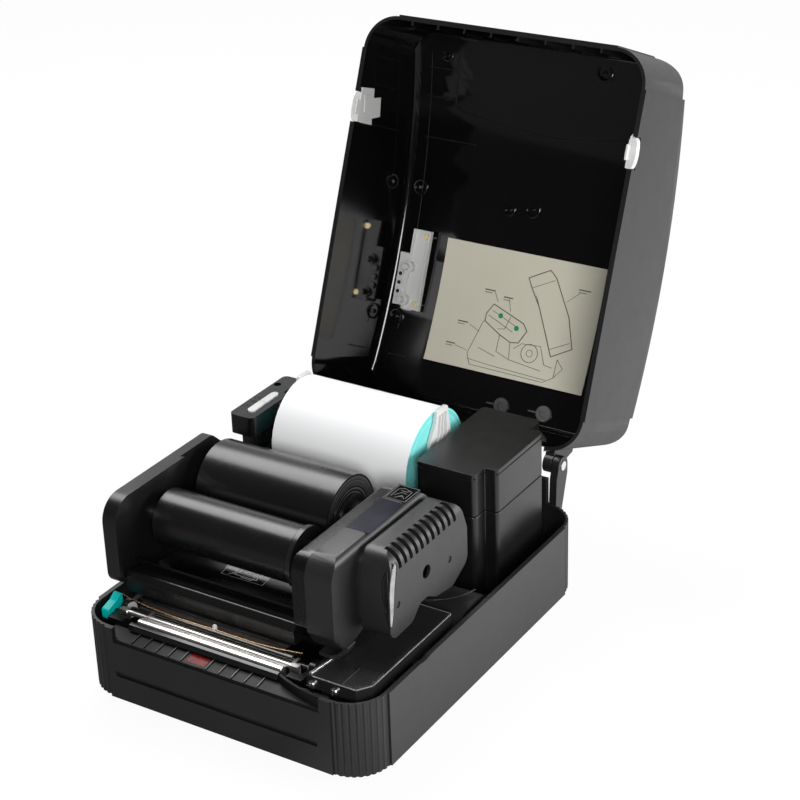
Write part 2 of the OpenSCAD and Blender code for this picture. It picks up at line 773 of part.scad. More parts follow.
module printhead() {
    color("#d9d4c4") block([platen_x0, carriage_front - 4,
        platen_z + platen_r + 0.15], [platen_x0 + platen_len - 8, carriage_front + 12, 60.4]);
}

module spindle(y, hub_r) {
    x1 = ribbon_x0 + ribbon_len;
    rod_x(plate_x0 + 0.5, housing_x1 - 1.2, y, axis_z, journal_r);
    rod_x(ribbon_x0, x1 + 4, y, axis_z, barrel_r);
    rod_x(x1 + 4 - eps, x1 + 12, y, axis_z, hub_r - 2);
    for (a = [0 : 60 : 300]) translate([ribbon_x0 + 3, y, axis_z]) rotate([a, 0, 0])
        translate([0, barrel_r - 1, -0.8]) cube([ribbon_len - 8, 1.4, 1.6]);
}

module supply_spindle() {
    color("#2b2b2e") {
        spindle(supply_y, 14.5);
        rod_x(ribbon_x0 + ribbon_len + 0.3, ribbon_x0 + ribbon_len + 2.3, supply_y, axis_z, 17);
    }
}

module rewind_spindle() {
    color("#2b2b2e") {
        spindle(rewind_y, 14.5);
        rod_x(ribbon_x0 + ribbon_len + 0.3, ribbon_x0 + ribbon_len + 4, rewind_y, axis_z, 21.5);
        difference() {
            rod_x(ribbon_x0 - 3.5, ribbon_x0 + eps, rewind_y, axis_z, 11);
            rod_x(ribbon_x0 - 4.5, ribbon_x0 - 2, rewind_y, axis_z, 8.5);
        }
        rod_x(ribbon_x0 - 3.5, ribbon_x0, rewind_y, axis_z, journal_r);
    }
}

module ribbon(y, r) {
    difference() {
        union() {
            rod_x(ribbon_x0, ribbon_x0 + ribbon_len, y, axis_z, barrel_r + core_wall);
            rod_x(ribbon_x0 + 1, ribbon_x0 + ribbon_len - 1, y, axis_z, r);
        }
        rod_x(ribbon_x0 - 1, ribbon_x0 + ribbon_len + 1, y, axis_z, barrel_r + 0.5);
    }
}

module supply_ribbon() {
    color("#151516") ribbon(supply_y, supply_r);
}

module rewind_ribbon() {
    color("#1b1b1d") ribbon(rewind_y, rewind_r);
}

// ---------- labels ----------

module label_roll() {
    color("#f2f1ec") difference() {
        rod_x(roll_x0, roll_x1, roll_y, roll_z, roll_r);
        rod_x(roll_x0 - 1, roll_x1 + 1, roll_y, roll_z, roll_core_r - 2.5);
    }
}

module label_spindle() {
    color("#2b2b2e") {
        rod_x(roll_x0 - guide_t - guide_travel - 3, tower_x0 + tower_wall, roll_y, roll_z,
            spindle_r);
        rod_x(roll_x0 + 6, roll_x1 - 6, roll_y, roll_z, roll_core_r - 2.5);
    }
}

// Edge guide at the left of the roll; its face lies on x = 0
module guide_body() {
    x0 = -guide_t;
    difference() {
        union() {
            slice_x(x0, 0) translate([roll_y, 0]) rounded([[-6, rack_z, 2], [18, rack_z, 2],
                [18, closed_h - 32, 4], [14, closed_h - 8.6, 2], [0, closed_h - 7.9, 2],
                [-2, closed_h - 16, 3], [-10, closed_h - 28, 5], [-12, roll_z - 10, 8]]);
            rod_x(x0 - 2, 0, roll_y, roll_z, spindle_r + 5);
            for (y = [-2, 4, 10]) slice_x(x0 - 1.6, x0 + eps) translate([roll_y, 0])
                polygon([[y - 0.6, roll_z + 9], [y + 0.6, roll_z + 9],
                    [y * 0.6 + 4.9, closed_h - 12], [y * 0.6 + 3.7, closed_h - 12]]);
        }
        rod_x(x0 - 4, 1, roll_y, roll_z, spindle_r + run_gap);
    }
}

module guide_rack(reach) {
    length = 42;
    offset_y = -rack_pitch_r - rack_gap;
    translate([guide_pinion_x, rack_y, rack_z]) linear_extrude(rack_t) {
        translate([0, offset_y]) rack_outline(rack_module, length, rack_arm_w);
        translate([-reach, offset_y - 1.2 * rack_module - rack_arm_w])
            square([reach - length / 2 + 1, rack_arm_w]);
    }
}

module guide_left() {
    color("#eeeae0") {
        translate([roll_x0 - part_gap, 0, 0]) guide_body();
        guide_rack(roll_len / 2 + part_gap + 1);
    }
}

module guide_right() {
    color("#eeeae0") {
        translate([roll_x1 + part_gap, 0, 0]) mirror([1, 0, 0]) guide_body();
        translate([2 * guide_pinion_x, 2 * rack_y, 0]) rotate([0, 0, 180])
            guide_rack(roll_len / 2 + part_gap + 1);
    }
}

module guide_pinion() {
    color("#d8d4c8") difference() {
        translate([guide_pinion_x, rack_y, rack_z]) rotate(180 / rack_teeth)
            linear_extrude(rack_t) gear_outline(rack_module, rack_teeth);
        rod_z(guide_pinion_x, rack_y, rack_z - 1, rack_z + rack_t + 1, 2.5 + run_gap);
    }
}

// ---------- drive ----------

module platen_roller() {
    color("#2d2d30") {
        rod_x(platen_x0, platen_x0 + platen_len, platen_y, platen_z, platen_r);
        rod_x(cheek_x0 - 1.2, gear_x0 + gear_w, platen_y, platen_z, platen_shaft_r);
    }
}

module platen_gear() {
    color("#e2ddd0") difference() {
        union() {
            translate([gear_x0, platen_y, platen_z]) rotate([0, 90, 0]) rotate(-pinion_angle)
                rotate([0, 0, 90]) linear_extrude(gear_w) gear_outline(gear_module,
                    platen_teeth);
            rod_x(gear_x0 - 0.6, gear_x0 + eps, platen_y, platen_z, 4);
        }
        rod_x(gear_x0 - 2, gear_x0 + gear_w + 1, platen_y, platen_z, platen_shaft_r);
    }
}

module motor_pinion() {
    color("#c9a24a") {
        translate([gear_x0, pinion_y, pinion_z]) rotate([0, 90, 0]) rotate(-pinion_angle)
            rotate([0, 0, -90 + 180 / pinion_teeth]) linear_extrude(gear_w)
                gear_outline(gear_module, pinion_teeth);
        rod_x(gear_x0 + eps, motor_x0 + 9.5, pinion_y, pinion_z, 2.5);
    }
}

module motor_bracket() {
    half = motor_w / 2;
    color("#9a9da1") difference() {
        union() {
            block([bracket_x, pinion_y - half - 3, floor_z], [motor_x0, pinion_y + half + 3,
                pinion_z + half]);
            block([bracket_x, pinion_y - half - 3, floor_z], [motor_x0 + 18,
                pinion_y + half + 3, floor_z + 1.3]);
        }
        rod_x(bracket_x - 1, motor_x0 + 1, pinion_y, pinion_z, 4);
        rod_x(bracket_x - 1, motor_x0 + 1, platen_y, platen_z, platen_shaft_r + 1);
    }
}

module stepper_motor() {
    half = motor_w / 2;
    color("#1a1a1b") difference() {
        slice_x(motor_x0, motor_x0 + motor_len) rounded([
            [pinion_y - half, pinion_z - half, 3], [pinion_y + half, pinion_z - half, 3],
            [pinion_y + half, pinion_z + half, 3], [pinion_y - half, pinion_z + half, 3]]);
        rod_x(motor_x0 - 1, motor_x0 + 10, pinion_y, pinion_z, 2.5 + run_gap);
        for (x = [motor_x0 + 7, motor_x0 + motor_len - 8]) slice_x(x, x + 1)
            difference() {
                translate([pinion_y - motor_w, pinion_z - motor_w]) square(2 * motor_w);
                translate([pinion_y, pinion_z]) circle(r = half * 1.3);
            }
    }
}

module release_lever() {
    color("#49b8a8") difference() {
        slice_x(cheek_x0 - 7.5, cheek_x0 - 1.5) translate([lever_y, lever_z]) rounded([
            [8, 12, 1.5], [1, 7, 2], [-8, 4.5, 2], [-8, -2, 2], [-2, -8, 3], [7, -6, 2]]);
        rod_x(cheek_x0 - 9, cheek_x0, lever_y, lever_z, lever_pin_r + run_gap);
    }
}

// ---------- operator panel, tower and electronics ----------

module operator_panel() {
    color("#1c1c1e") difference() {
        union() {
            translate([0, 0, panel_top - head_h]) linear_extrude(head_h)
                round_rect(head_x0, head_y0, head_x1, head_y1, 4);
            block([head_x0 + 1.5, head_y0 + 12, bay_z], [head_x1 - 4.5, head_y1 - 10,
                panel_top - head_h + eps]);
        }
        translate([0, 0, panel_top - head_h - 1]) linear_extrude(head_h - 1.5)
            round_rect(head_x0 + 2, head_y0 + 2, head_x1 - 2, head_y1 - 2, 2.5);
        block([head_x0 + 3.5, head_y0 + 14, bay_z - 1], [head_x1 - 6.5, head_y1 - 12,
            panel_top - head_h + 1]);
        translate([0, 0, panel_top - 4]) linear_extrude(5)
            round_rect(button_x - button_w / 2 - part_gap, button_y - button_l - part_gap,
                button_x + button_w / 2 + part_gap, button_y + button_l + part_gap,
                button_w / 2);
        for (i = [-1 : 1]) rod_z(lens_x, button_y - 0.5 + i * lens_pitch, panel_top - 4,
            panel_top + 1, lens_r + 0.1);
        rod_z(lens_x, head_y1 - 15, panel_top - 4, panel_top + 1, 2.8);
        block([head_x1 - 5, head_y1 - 24, panel_top - 1.5], [head_x1 + 1, head_y1 - 17,
            panel_top + 1]);
    }
    // floor of the head between its walls and the stalk
    color("#1c1c1e") difference() {
        translate([0, 0, panel_top - head_h]) linear_extrude(2)
            round_rect(head_x0 + 1.5, head_y0 + 1.5, head_x1 - 1.5, head_y1 - 1.5, 2);
        block([head_x0 + 3.5, head_y0 + 14, panel_top - head_h - 1], [head_x1 - 6.5,
            head_y1 - 12, panel_top - head_h + 3]);
    }
}

module status_lenses() {
    color("#9fd9a0") for (i = [-1 : 1]) {
        rod_z(lens_x, button_y - 0.5 + i * lens_pitch, panel_top - 2.6, panel_top + 0.3, lens_r);
        rod_z(lens_x, button_y - 0.5 + i * lens_pitch, panel_top - 3.6, panel_top - 2.5,
            lens_r * 1.15);
    }
}

module half_pill(y0, y1, round_end) {
    r = button_w / 2;
    union() {
        translate([button_x - r, round_end < 0 ? y0 + r : y0])
            square([2 * r, y1 - y0 - r]);
        translate([button_x, round_end < 0 ? y0 + r : y1 - r]) circle(r = r);
    }
}

module button(y0, y1, round_end) {
    translate([0, 0, panel_top - 4]) linear_extrude(5) half_pill(y0, y1, round_end);
    block([button_x - button_w / 2 - 1.5, y0 + 2.4, panel_top - 4.2],
        [button_x + button_w / 2 + 1.5, y1 - 2.4, panel_top - 2.8]);
}

module pause_button() {
    color("#efede6") button(button_y + 0.15, button_y + button_l, 1);
}

module feed_button() {
    color("#efede6") button(button_y - button_l, button_y - 0.15, -1);
}

module tower_plan(i) {
    rounded([[tower_x0 + i, tower_y0 + i, 3], [tower_x1 - i, tower_y0 + i, 4],
        [tower_x1 - i, step_y0 + i, 1], [step_x1 - i, step_y0 + i, 3],
        [step_x1 - i, step_y1 - i, 3], [tower_x1 - i, step_y1 - i, 1],
        [tower_x1 - i, tower_y1 - i, 4], [tower_x0 + i, tower_y1 - i, 3]]);
}

module tower_lower() {
    seam = tower_top - tower_cap_h;
    color("#1a1a1c") difference() {
        translate([0, 0, floor_z]) linear_extrude(seam - floor_z) tower_plan(0);
        translate([0, 0, floor_z - 1]) linear_extrude(seam - floor_z + 2)
            tower_plan(tower_wall);
    }
}

module tower_cap() {
    seam = tower_top - tower_cap_h;
    color("#202022") difference() {
        union() {
            translate([0, 0, seam + 1]) linear_extrude(tower_cap_h - 1) tower_plan(0);
            translate([0, 0, seam]) linear_extrude(1 + eps) tower_plan(0.8);
        }
        translate([0, 0, seam - 1]) linear_extrude(tower_cap_h - 1.2)
            tower_plan(tower_wall);
        rod_x(tower_x0 - 1, tower_x0 + tower_wall + 1, roll_y, roll_z, spindle_r + run_gap);
        block([tower_x0 - 1, tower_y0 + 48, tower_top - 5], [tower_x0 + 1.3, tower_y0 + 60,
            tower_top + 1]);
        // shallow groove round the cap
        translate([0, 0, tower_top - 4]) linear_extrude(1) difference() {
            tower_plan(-1);
            tower_plan(0.7);
        }
    }
}

module power_board() {
    z = floor_z + 6;
    color("#2f6b3c") {
        block([tower_x0 + 4, tower_y0 + 6.5, z], [tower_x1 - 3, tower_y1 - 7, z + 1.6]);
        for (x = [tower_x0 + 9, tower_x1 - 8], y = [tower_y0 + 11.5, tower_y1 - 12])
            rod_z(x, y, floor_z, z + eps, 2.5);
    }
    color("#c9b458") {
        rod_z(tower_x0 + 15, tower_y0 + 24.5, z + 1.5, z + 32, 9);
        block([tower_x0 + 25, tower_y0 + 16.5, z + 1.5], [tower_x1 - 5, tower_y0 + 34.5, z + 22]);
        block([tower_x0 + 11, tower_y1 - 49, z + 1.5], [tower_x1 - 8, tower_y1 - 25, z + 26]);
    }
}

module main_board() {
    z = floor_z + 3;
    color("#2f6b3c") {
        block([33 - half_w, half_d - 77, z], [-7, half_d - 20, z + 1.6]);
        for (x = [37 - half_w, -11], y = [half_d - 73, half_d - 24])
            rod_z(x, y, floor_z, z + eps, 2.2);
    }
    color("#222222") {
        block([-60, half_d - 60, z + 1.5], [-44, half_d - 44, z + 3.4]);
        block([-34, half_d - 64, z + 1.5], [-20, half_d - 56, z + 3.2]);
    }
}

module power_inlet() {
    color("#161617") difference() {
        union() {
            block([inlet_x - 13.7, half_d - 9, inlet_z - 9.7], [inlet_x + 13.7, half_d + eps,
                inlet_z + 9.7]);
            block([inlet_x - 15.5, half_d, inlet_z - 11.5], [inlet_x + 15.5, half_d + 1.2,
                inlet_z + 11.5]);
        }
        slice_y(half_d - 7.5, half_d + 2) rounded([[inlet_x - 10, inlet_z - 7, 1.5],
            [inlet_x + 10, inlet_z - 7, 1.5], [inlet_x + 10, inlet_z + 2, 1],
            [inlet_x + 5, inlet_z + 7, 1], [inlet_x - 5, inlet_z + 7, 1],
            [inlet_x - 10, inlet_z + 2, 1]]);
    }
    color("#c8b060") for (p = [[-5.5, -1], [0, 2.5], [5.5, -1]])
        block([inlet_x + p[0] - 1, half_d - 8, inlet_z + p[1] - 2], [inlet_x + p[0] + 1,
            half_d - 4, inlet_z + p[1] + 2]);
}

module data_ports() {
    color("#b9bcc0") difference() {
        union() {
            block([-24, in_y - 1.6, 17], [24, in_y, 37]);
            for (x = [-13.5, 0, 12.5]) block([x - 6, in_y - 5, 20.6], [x + 6, half_d - 0.6, 33.2]);
        }
        block([-18, in_y - 3.5, 22], [-9, half_d + 1, 31.8]);
        block([-4.5, in_y - 3.5, 23], [4.5, half_d + 1, 30.8]);
        block([8, in_y - 3.5, 22], [17, half_d + 1, 31.8]);
    }
}

module power_switch() {
    color("#111111") translate([0, switch_y, switch_z]) {
        slice_x(switch_x - 4.6, switch_x + 4.6) polygon([[-1.2, -6.6], [3.6, -6.6], [2.6, 0],
            [4.4, 6.6], [-1.2, 6.6]]);
        rod_x(switch_x - 6, switch_x + 6, 0, 0, 1.2);
    }
}

// ---------- cover ----------

// Turns parts drawn in the closed position to the open one
module opened() {
    translate([0, hinge_y, hinge_z]) rotate([-open_angle, 0, 0])
        translate([0, -hinge_y, -hinge_z]) children();
}

// Long arch of the roof, rounded towards the sides
module roof_barrel(inset, edge) {
    translate([0, crown_y, crown_z - roof_r]) rotate([0, 90, 0])
        rotate_extrude($fn = 720) round_rect(roof_r - 250, -half_w + inset, roof_r - inset,
            half_w - inset, edge);
}

function roof_at(y, inset) = crown_z - roof_r
    + sqrt(pow(roof_r - inset, 2) - pow(y - crown_y, 2));
function roof_slope(y, inset) = -(y - crown_y) / sqrt(pow(roof_r - inset, 2)
    - pow(y - crown_y, 2));

// Y-Z outline that rounds the roof's front and rear edges
module roof_side(inset, edge) {
    y0 = -half_d + inset;
    y1 = half_d - inset;
    z0 = roof_at(y0, inset);
    z1 = roof_at(y1, inset);
    rounded([[y0, 0, 0], [y1, 0, 0], [y1, z1, edge],
        [crown_y, max(z1 - roof_slope(y1, inset) * (y1 - crown_y),
            z0 + roof_slope(y0, inset) * (crown_y - y0)), 0], [y0, z0, edge]]);
}

module cover_body(inset, edge, z0) {
    intersection() {
        children();
        roof_barrel(inset, edge);
        slice_x(-half_w - 1, half_w + 1) roof_side(inset, edge);
        block([-half_w - 1, -half_d - 1, z0], [half_w + 1, half_d + 1, closed_h + 1]);
    }
}

module cover_shell() {
    wall = panel_step + cover_wall;
    z0 = rim_z + part_gap;
    cut = part_gap + 0.3;
    color("#1d1d1f") opened() difference() {
        union() {
            cover_body(panel_step, roof_edge_r, z0)
                linear_extrude(closed_h) plan(panel_step);
            cover_body(0, roof_edge_r, z0)
                union() {
                    block([-half_w, -panel_half_y, 0], [half_w, panel_half_y, closed_h]);
                    block([-panel_half_x, -half_d, 0], [panel_half_x, half_d, closed_h]);
                }
        }
        difference() {
            cover_body(wall, roof_edge_r - 3, 0) linear_extrude(closed_h) plan(wall);
            // stiffening ribs inside the front wall
            for (i = [-3.5 : 1 : 3.5]) let (x = i * (half_w - 28) / 4)
                block([x - 0.8, -half_d, z0 - 1], [x + 0.8, -half_d + wall + 3,
                    closed_h - 40]);
            // bosses for the key bracket
            for (y = screw_ys) rod_z(bracket_x1 - 4, y, bracket_z + 2, closed_h, 3.5);
            for (i = [-1 : 1]) rod_z(bracket_x0 - 4, button_y - 0.5 + i * lens_pitch,
                bracket_z + 4, closed_h, 1.6);
        }
        block([-rear_cut_x - cut, in_y - 6, 0], [rear_cut_x + cut, half_d + 1,
            rear_rise + cut]);
        for (s = [-1, 1]) mirror([s < 0 ? 1 : 0, 0, 0]) block([half_w - 16,
            latch_y - latch_w / 2 - part_gap, z0 - 1], [half_w + 4,
            latch_y + latch_w / 2 + part_gap, z0 + latch_h + part_gap]);
        for (y = key_ys) translate([0, 0, bracket_z + 3]) linear_extrude(20)
            round_rect(key_x - 5.3, y - 8.3, key_x + 5.3, y + 8.3, 2.3);
        for (y = screw_ys) rod_z(bracket_x1 - 4, y, bracket_z + 1, bracket_z + 5.5, 1.2);
    }
}

// Arms behind the cover's rear wall, one to each hinge post
module cover_arms() {
    color("#1d1d1f") opened() for (s = [-1, 1]) let (x0 = s * hinge_x - arm_t / 2)
        difference() {
            union() {
                rod_x(x0, x0 + arm_t, hinge_y, hinge_z, eye_r);
                slice_x(x0, x0 + arm_t) polygon([[hinge_y, hinge_z - eye_r * 0.7],
                    [hinge_y + eye_r, hinge_z], [half_d + 3, hinge_z + 26],
                    [half_d, hinge_z + 26], [half_d, rear_rise + 2]]);
            }
            rod_x(x0 - 1, x0 + arm_t + 1, hinge_y, hinge_z, hinge_pin_r);
        }
}

module hinge_pins() {
    color("#b8babd") for (s = [-1, 1]) {
        rod_x(s * hinge_x - (s < 0 ? arm_t / 2 + post_t + 1 : arm_t / 2),
            s * hinge_x + (s < 0 ? arm_t / 2 : arm_t / 2 + post_t + 1), hinge_y, hinge_z,
            hinge_pin_r);
    }
}

module hinge_posts() {
    color("#1b1b1d") for (s = [-1, 1])
        let (x0 = s < 0 ? -hinge_x - arm_t / 2 - 0.5 - post_t : hinge_x + arm_t / 2 + 0.5)
        difference() {
            union() {
                rod_x(x0, x0 + post_t, hinge_y, hinge_z, eye_r);
                slice_x(x0, x0 + post_t) polygon([[half_d, rim_z - 28],
                    [half_d + 3, rim_z - 28], [hinge_y + eye_r, hinge_z - 8],
                    [hinge_y + eye_r, hinge_z], [hinge_y, hinge_z], [hinge_y - eye_r, hinge_z],
                    [half_d + 1, hinge_z - 8], [half_d, rim_z - 1]]);
            }
            rod_x(x0 - 1, x0 + post_t + 1, hinge_y, hinge_z, hinge_pin_r + run_gap);
        }
}

module instruction_label() {
    r = roof_r - panel_step - cover_wall;
    color("#d9c9a3") opened() intersection() {
        difference() {
            rod_x(48 - half_w, half_w - 46, crown_y, crown_z - roof_r, r - 0.1, $fn = 720);
            rod_x(47 - half_w, half_w - 45, crown_y, crown_z - roof_r, r - 0.4, $fn = 720);
        }
        block([-half_w, half_d - 130, 100], [half_w, half_d - 34, closed_h]);
    }
}

// White bracket that guides the keys above the operator panel
module key_bracket() {
    color("#ece8dc") opened() difference() {
        union() {
            block([bracket_mid, screw_ys[0] - 5, bracket_z], [bracket_x1, screw_ys[1] + 5,
                bracket_z + 2]);
            for (x = [bracket_mid, bracket_x1 - 1.6]) block([x, screw_ys[0] - 5,
                bracket_z - 2], [x + 1.6, screw_ys[1] + 5, bracket_z + eps]);
            // light guide block beside the keys
            block([bracket_x0 - 3.5, button_y - 24, bracket_z - 2.5], [bracket_mid + 1,
                button_y + 17, bracket_z + 1]);
            for (i = [-1 : 1]) rod_z(bracket_x0 + 0.5, button_y - 0.5 + i * lens_pitch,
                bracket_z - 4.5, bracket_z, 2.6);
            for (y = key_ys) rod_z(key_x, y, bracket_z - 5, bracket_z + eps, key_r + 2);
        }
        for (y = key_ys) rod_z(key_x, y, bracket_z - 6, bracket_z + 3, key_r + run_gap);
        for (y = screw_ys) rod_z(bracket_x1 - 4, y, bracket_z - 3, bracket_z + 3, 1.3);
    }
}

module bracket_screws() {
    color("#c0a060") opened() for (y = screw_ys) {
        rod_z(bracket_x1 - 4, y, bracket_z - 1.4, bracket_z, 2.2);
        rod_z(bracket_x1 - 4, y, bracket_z - eps, bracket_z + 5, 1.1);
    }
}

// Key in the roof whose stem reaches down to a button of the panel
module key(y) {
    translate([0, 0, bracket_z + 3.6]) linear_extrude(roof_at(y, 0) + 0.6 - bracket_z - 3.6)
        round_rect(key_x - 5, y - 8, key_x + 5, y + 8, 2);
    rod_z(key_x, y, panel_top + 2.6, bracket_z + 3.7, key_r);
}

module pause_key() {
    color("#3b3b3e") opened() key(key_ys[1]);
}

module feed_key() {
    color("#3b3b3e") opened() key(key_ys[0]);
}

// Latch slide at the rim; side is -1 on the left and 1 on the right
module latch(side) {
    z0 = rim_z + part_gap;
    x0 = half_w - 6;
    opened() mirror([side < 0 ? 1 : 0, 0, 0]) {
        block([x0, latch_y - latch_w / 2, z0], [half_w + 1.2, latch_y + latch_w / 2,
            z0 + latch_h]);
        block([x0, latch_y - latch_w / 2 + 5, z0 - 4], [x0 + 2.2, latch_y + latch_w / 2 - 5,
            z0 + eps]);
    }
}

module latch_left() {
    color("#eeeae0") latch(-1);
}

module latch_right() {
    color("#eeeae0") latch(1);
}

case_shell();
rubber_feet();
base_screws();
bay_floor();
print_frame();
outlet_ramp();
sensor_window();
metal_deck();
deck_screws();
rear_hump();
tear_bar();
tear_bar_cover();
platen_bearings();
guide_rod();
hold_down_wire();
carriage_posts();
operator_panel();
status_lenses();
tower_lower();
tower_cap();
power_board();
main_board();
motor_bracket();
stepper_motor();
hinge_posts();
power_inlet();
data_ports();
power_switch();
cover_shell();
cover_arms();
hinge_pins();
instruction_label();
key_bracket();
bracket_screws();
pause_key();
feed_key();
latch_left();
latch_right();
pause_button();
feed_button();
left_plate();
inner_housing();
middle_cover();
gear_cover();
film_guide();
printhead_bracket();
printhead();
supply_spindle();
supply_ribbon();
rewind_spindle();
rewind_ribbon();
label_roll();
label_spindle();
guide_left();
guide_right();
guide_pinion();
platen_roller();
platen_gear();
motor_pinion();
release_lever();
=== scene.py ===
import json
import math

import bmesh
import bpy
from mathutils import Matrix, Vector


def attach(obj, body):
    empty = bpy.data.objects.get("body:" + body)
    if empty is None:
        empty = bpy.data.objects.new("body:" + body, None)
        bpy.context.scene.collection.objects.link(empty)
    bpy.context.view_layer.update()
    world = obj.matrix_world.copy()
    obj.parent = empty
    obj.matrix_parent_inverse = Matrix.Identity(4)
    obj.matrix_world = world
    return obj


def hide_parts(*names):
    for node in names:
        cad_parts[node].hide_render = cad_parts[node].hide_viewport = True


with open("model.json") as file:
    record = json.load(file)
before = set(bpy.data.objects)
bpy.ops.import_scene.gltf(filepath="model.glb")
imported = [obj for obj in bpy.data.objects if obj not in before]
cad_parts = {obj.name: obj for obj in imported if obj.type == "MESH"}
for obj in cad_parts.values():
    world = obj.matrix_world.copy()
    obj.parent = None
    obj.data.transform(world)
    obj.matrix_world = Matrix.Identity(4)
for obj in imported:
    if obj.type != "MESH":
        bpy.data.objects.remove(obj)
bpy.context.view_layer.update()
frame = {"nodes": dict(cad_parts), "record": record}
nodes = frame["nodes"]

# X is right, Y back and Z up, from the middle of the footprint on the table. Shapes are
# written in mm and scaled by MM; the camera, the lights and the shaders are in metres.
MM = 0.001

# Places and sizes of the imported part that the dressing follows, in mm
CLOSED_H = 156                      # top of the closed cover
ROOF_OUT, ROOF_IN = 525, 521.2      # radii of the cover's arched roof
ROOF_CROWN = 30                     # Y of the arch's highest line
HINGE_AT = (0, 154.7, 84.3)
OPEN_ANGLE = 112                    # degrees from closed to the open rest position
REWIND_AXIS = (-64, 101)            # Y and Z of the spindles and of the label roll
SUPPLY_AXIS = (-6, 101)
LABEL_AXIS = (78, 108)
TROUGH_R = 35                       # hollow of the film guide, about the rewind spindle
DECK_TOP = 61
HUMP_TOP = 60
MIDDLE_TOP = 131                    # top of the carriage's middle cover
COVER_SIDE = 112.3                  # inner face of the cover's side walls, from the middle


def add_object(name, data):
    obj = bpy.data.objects.new(name, data)
    bpy.context.scene.collection.objects.link(obj)
    return obj


# ---------------------------------------------------------------- camera

AZIMUTH, ELEVATION, ROLL = 32.76, 26.36, -1.95      # degrees
FOCAL_PX, FRAME_PX = 2052.15, 800                   # focal length in pixels of the frame
SENSOR = 36                                         # mm
AIM_HEIGHT = 0.073                                  # of the point that the camera is set from
CAMERA_OFFSET = (0.04371, 0.09812, 1.41045)         # from that point to the right, up, back
CLIP = (0.05, 60)


def set_camera():
    """Puts the camera at the photograph's viewing angle."""
    az, el, roll = (math.radians(a) for a in (AZIMUTH, ELEVATION, ROLL))
    back = Vector((math.sin(az) * math.cos(el), -math.cos(az) * math.cos(el), math.sin(el)))
    level = Vector((0, 0, 1)).cross(back).normalized()
    upright = back.cross(level)
    right = level * math.cos(roll) + upright * math.sin(roll)
    up = -level * math.sin(roll) + upright * math.cos(roll)
    place = Matrix((right, up, back)).transposed().to_4x4()
    place.translation = (Vector((0, 0, AIM_HEIGHT)) + right * CAMERA_OFFSET[0]
                         + up * CAMERA_OFFSET[1] + back * CAMERA_OFFSET[2])
    cam = bpy.data.cameras.new("camera")
    cam.sensor_width = SENSOR
    cam.lens = FOCAL_PX / FRAME_PX * SENSOR
    cam.clip_start, cam.clip_end = CLIP
    obj = add_object("camera", cam)
    obj.matrix_world = place
    bpy.context.scene.camera = obj


# ---------------------------------------------------------------- edges

WELD = 2e-6             # metres within which packed vertices are one
SMOOTH_ANGLE = 32       # degrees: an edge that turns more stays sharp in shading,
BEVEL_ANGLE = 35        # and one that turns more than this is rounded
FLAT_ANGLE = 0.6        # faces that turn less than this are merged before rounding
BEVEL_SEGMENTS = 2


def shading_group():
    """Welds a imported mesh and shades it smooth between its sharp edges."""
    g = bpy.data.node_groups.new("clean_shading", "GeometryNodeTree")
    g.interface.new_socket("Geometry", in_out="INPUT", socket_type="NodeSocketGeometry")
    g.interface.new_socket("Angle", in_out="INPUT", socket_type="NodeSocketFloat")
    g.interface.new_socket("Geometry", in_out="OUTPUT", socket_type="NodeSocketGeometry")
    start, end = g.nodes.new("NodeGroupInput"), g.nodes.new("NodeGroupOutput")
    forget = g.nodes.new("GeometryNodeRemoveAttribute")
    forget.inputs["Name"].default_value = "custom_normal"
    weld = g.nodes.new("GeometryNodeMergeByDistance")
    weld.inputs["Distance"].default_value = WELD
    smooth = g.nodes.new("GeometryNodeSetShadeSmooth")
    smooth.domain = "FACE"
    smooth.inputs["Shade Smooth"].default_value = True
    sharp = g.nodes.new("GeometryNodeSetShadeSmooth")
    sharp.domain = "EDGE"
    sharp.inputs["Shade Smooth"].default_value = False
    turn = g.nodes.new("GeometryNodeInputMeshEdgeAngle")
    above = g.nodes.new("FunctionNodeCompare")
    above.operation = "GREATER_THAN"
    g.links.new(turn.outputs["Unsigned Angle"], above.inputs[0])
    g.links.new(start.outputs["Angle"], above.inputs[1])
    g.links.new(above.outputs["Result"], sharp.inputs["Selection"])
    chain = (start, forget, weld, smooth, sharp, end)
    for a, b in zip(chain, chain[1:]):
        g.links.new(a.outputs["Geometry"], b.inputs["Geometry"])
    return g


SHADING = shading_group()


def shade(obj):
    m = obj.modifiers.new("shading", "NODES")
    m.node_group = SHADING
    m[SHADING.interface.items_tree["Angle"].identifier] = math.radians(SMOOTH_ANGLE)


def soften(obj, width, merge_flats=True):
    """Rounds the sharp edges of a mesh by a small bevel."""
    shade(obj)
    if merge_flats:
        d = obj.modifiers.new("flats", "DECIMATE")
        d.decimate_type = "DISSOLVE"
        d.angle_limit = math.radians(FLAT_ANGLE)
    b = obj.modifiers.new("edges", "BEVEL")
    b.width = width
    b.segments = BEVEL_SEGMENTS
    b.limit_method = "ANGLE"
    b.angle_limit = math.radians(BEVEL_ANGLE)
    b.use_clamp_overlap = True
    b.harden_normals = True
    b.miter_outer = "MITER_ARC"


# ---------------------------------------------------------------- shader parts

FINE_DETAIL = (5, 0.6)          # detail and roughness of the noise that breaks a gloss
BUMP_DEPTH = 0.0001             # metres


def put(nt, socket, value):
    """Links an output to a socket, or sets the socket to a constant."""
    if isinstance(value, bpy.types.NodeSocket):
        nt.links.new(value, socket)
    else:
        socket.default_value = value


def compute(nt, kind, operation, output, *values):
    """Math or vector math node: each value is an output or a constant."""
    n = nt.nodes.new(kind)
    n.operation = operation
    for socket, value in zip(n.inputs, values):
        put(nt, socket, value)
    return n.outputs[output]


def scalar(nt, operation, *values):
    return compute(nt, "ShaderNodeMath", operation, "Value", *values)


def vector(nt, operation, *values, output="Vector"):
    return compute(nt, "ShaderNodeVectorMath", operation, output, *values)


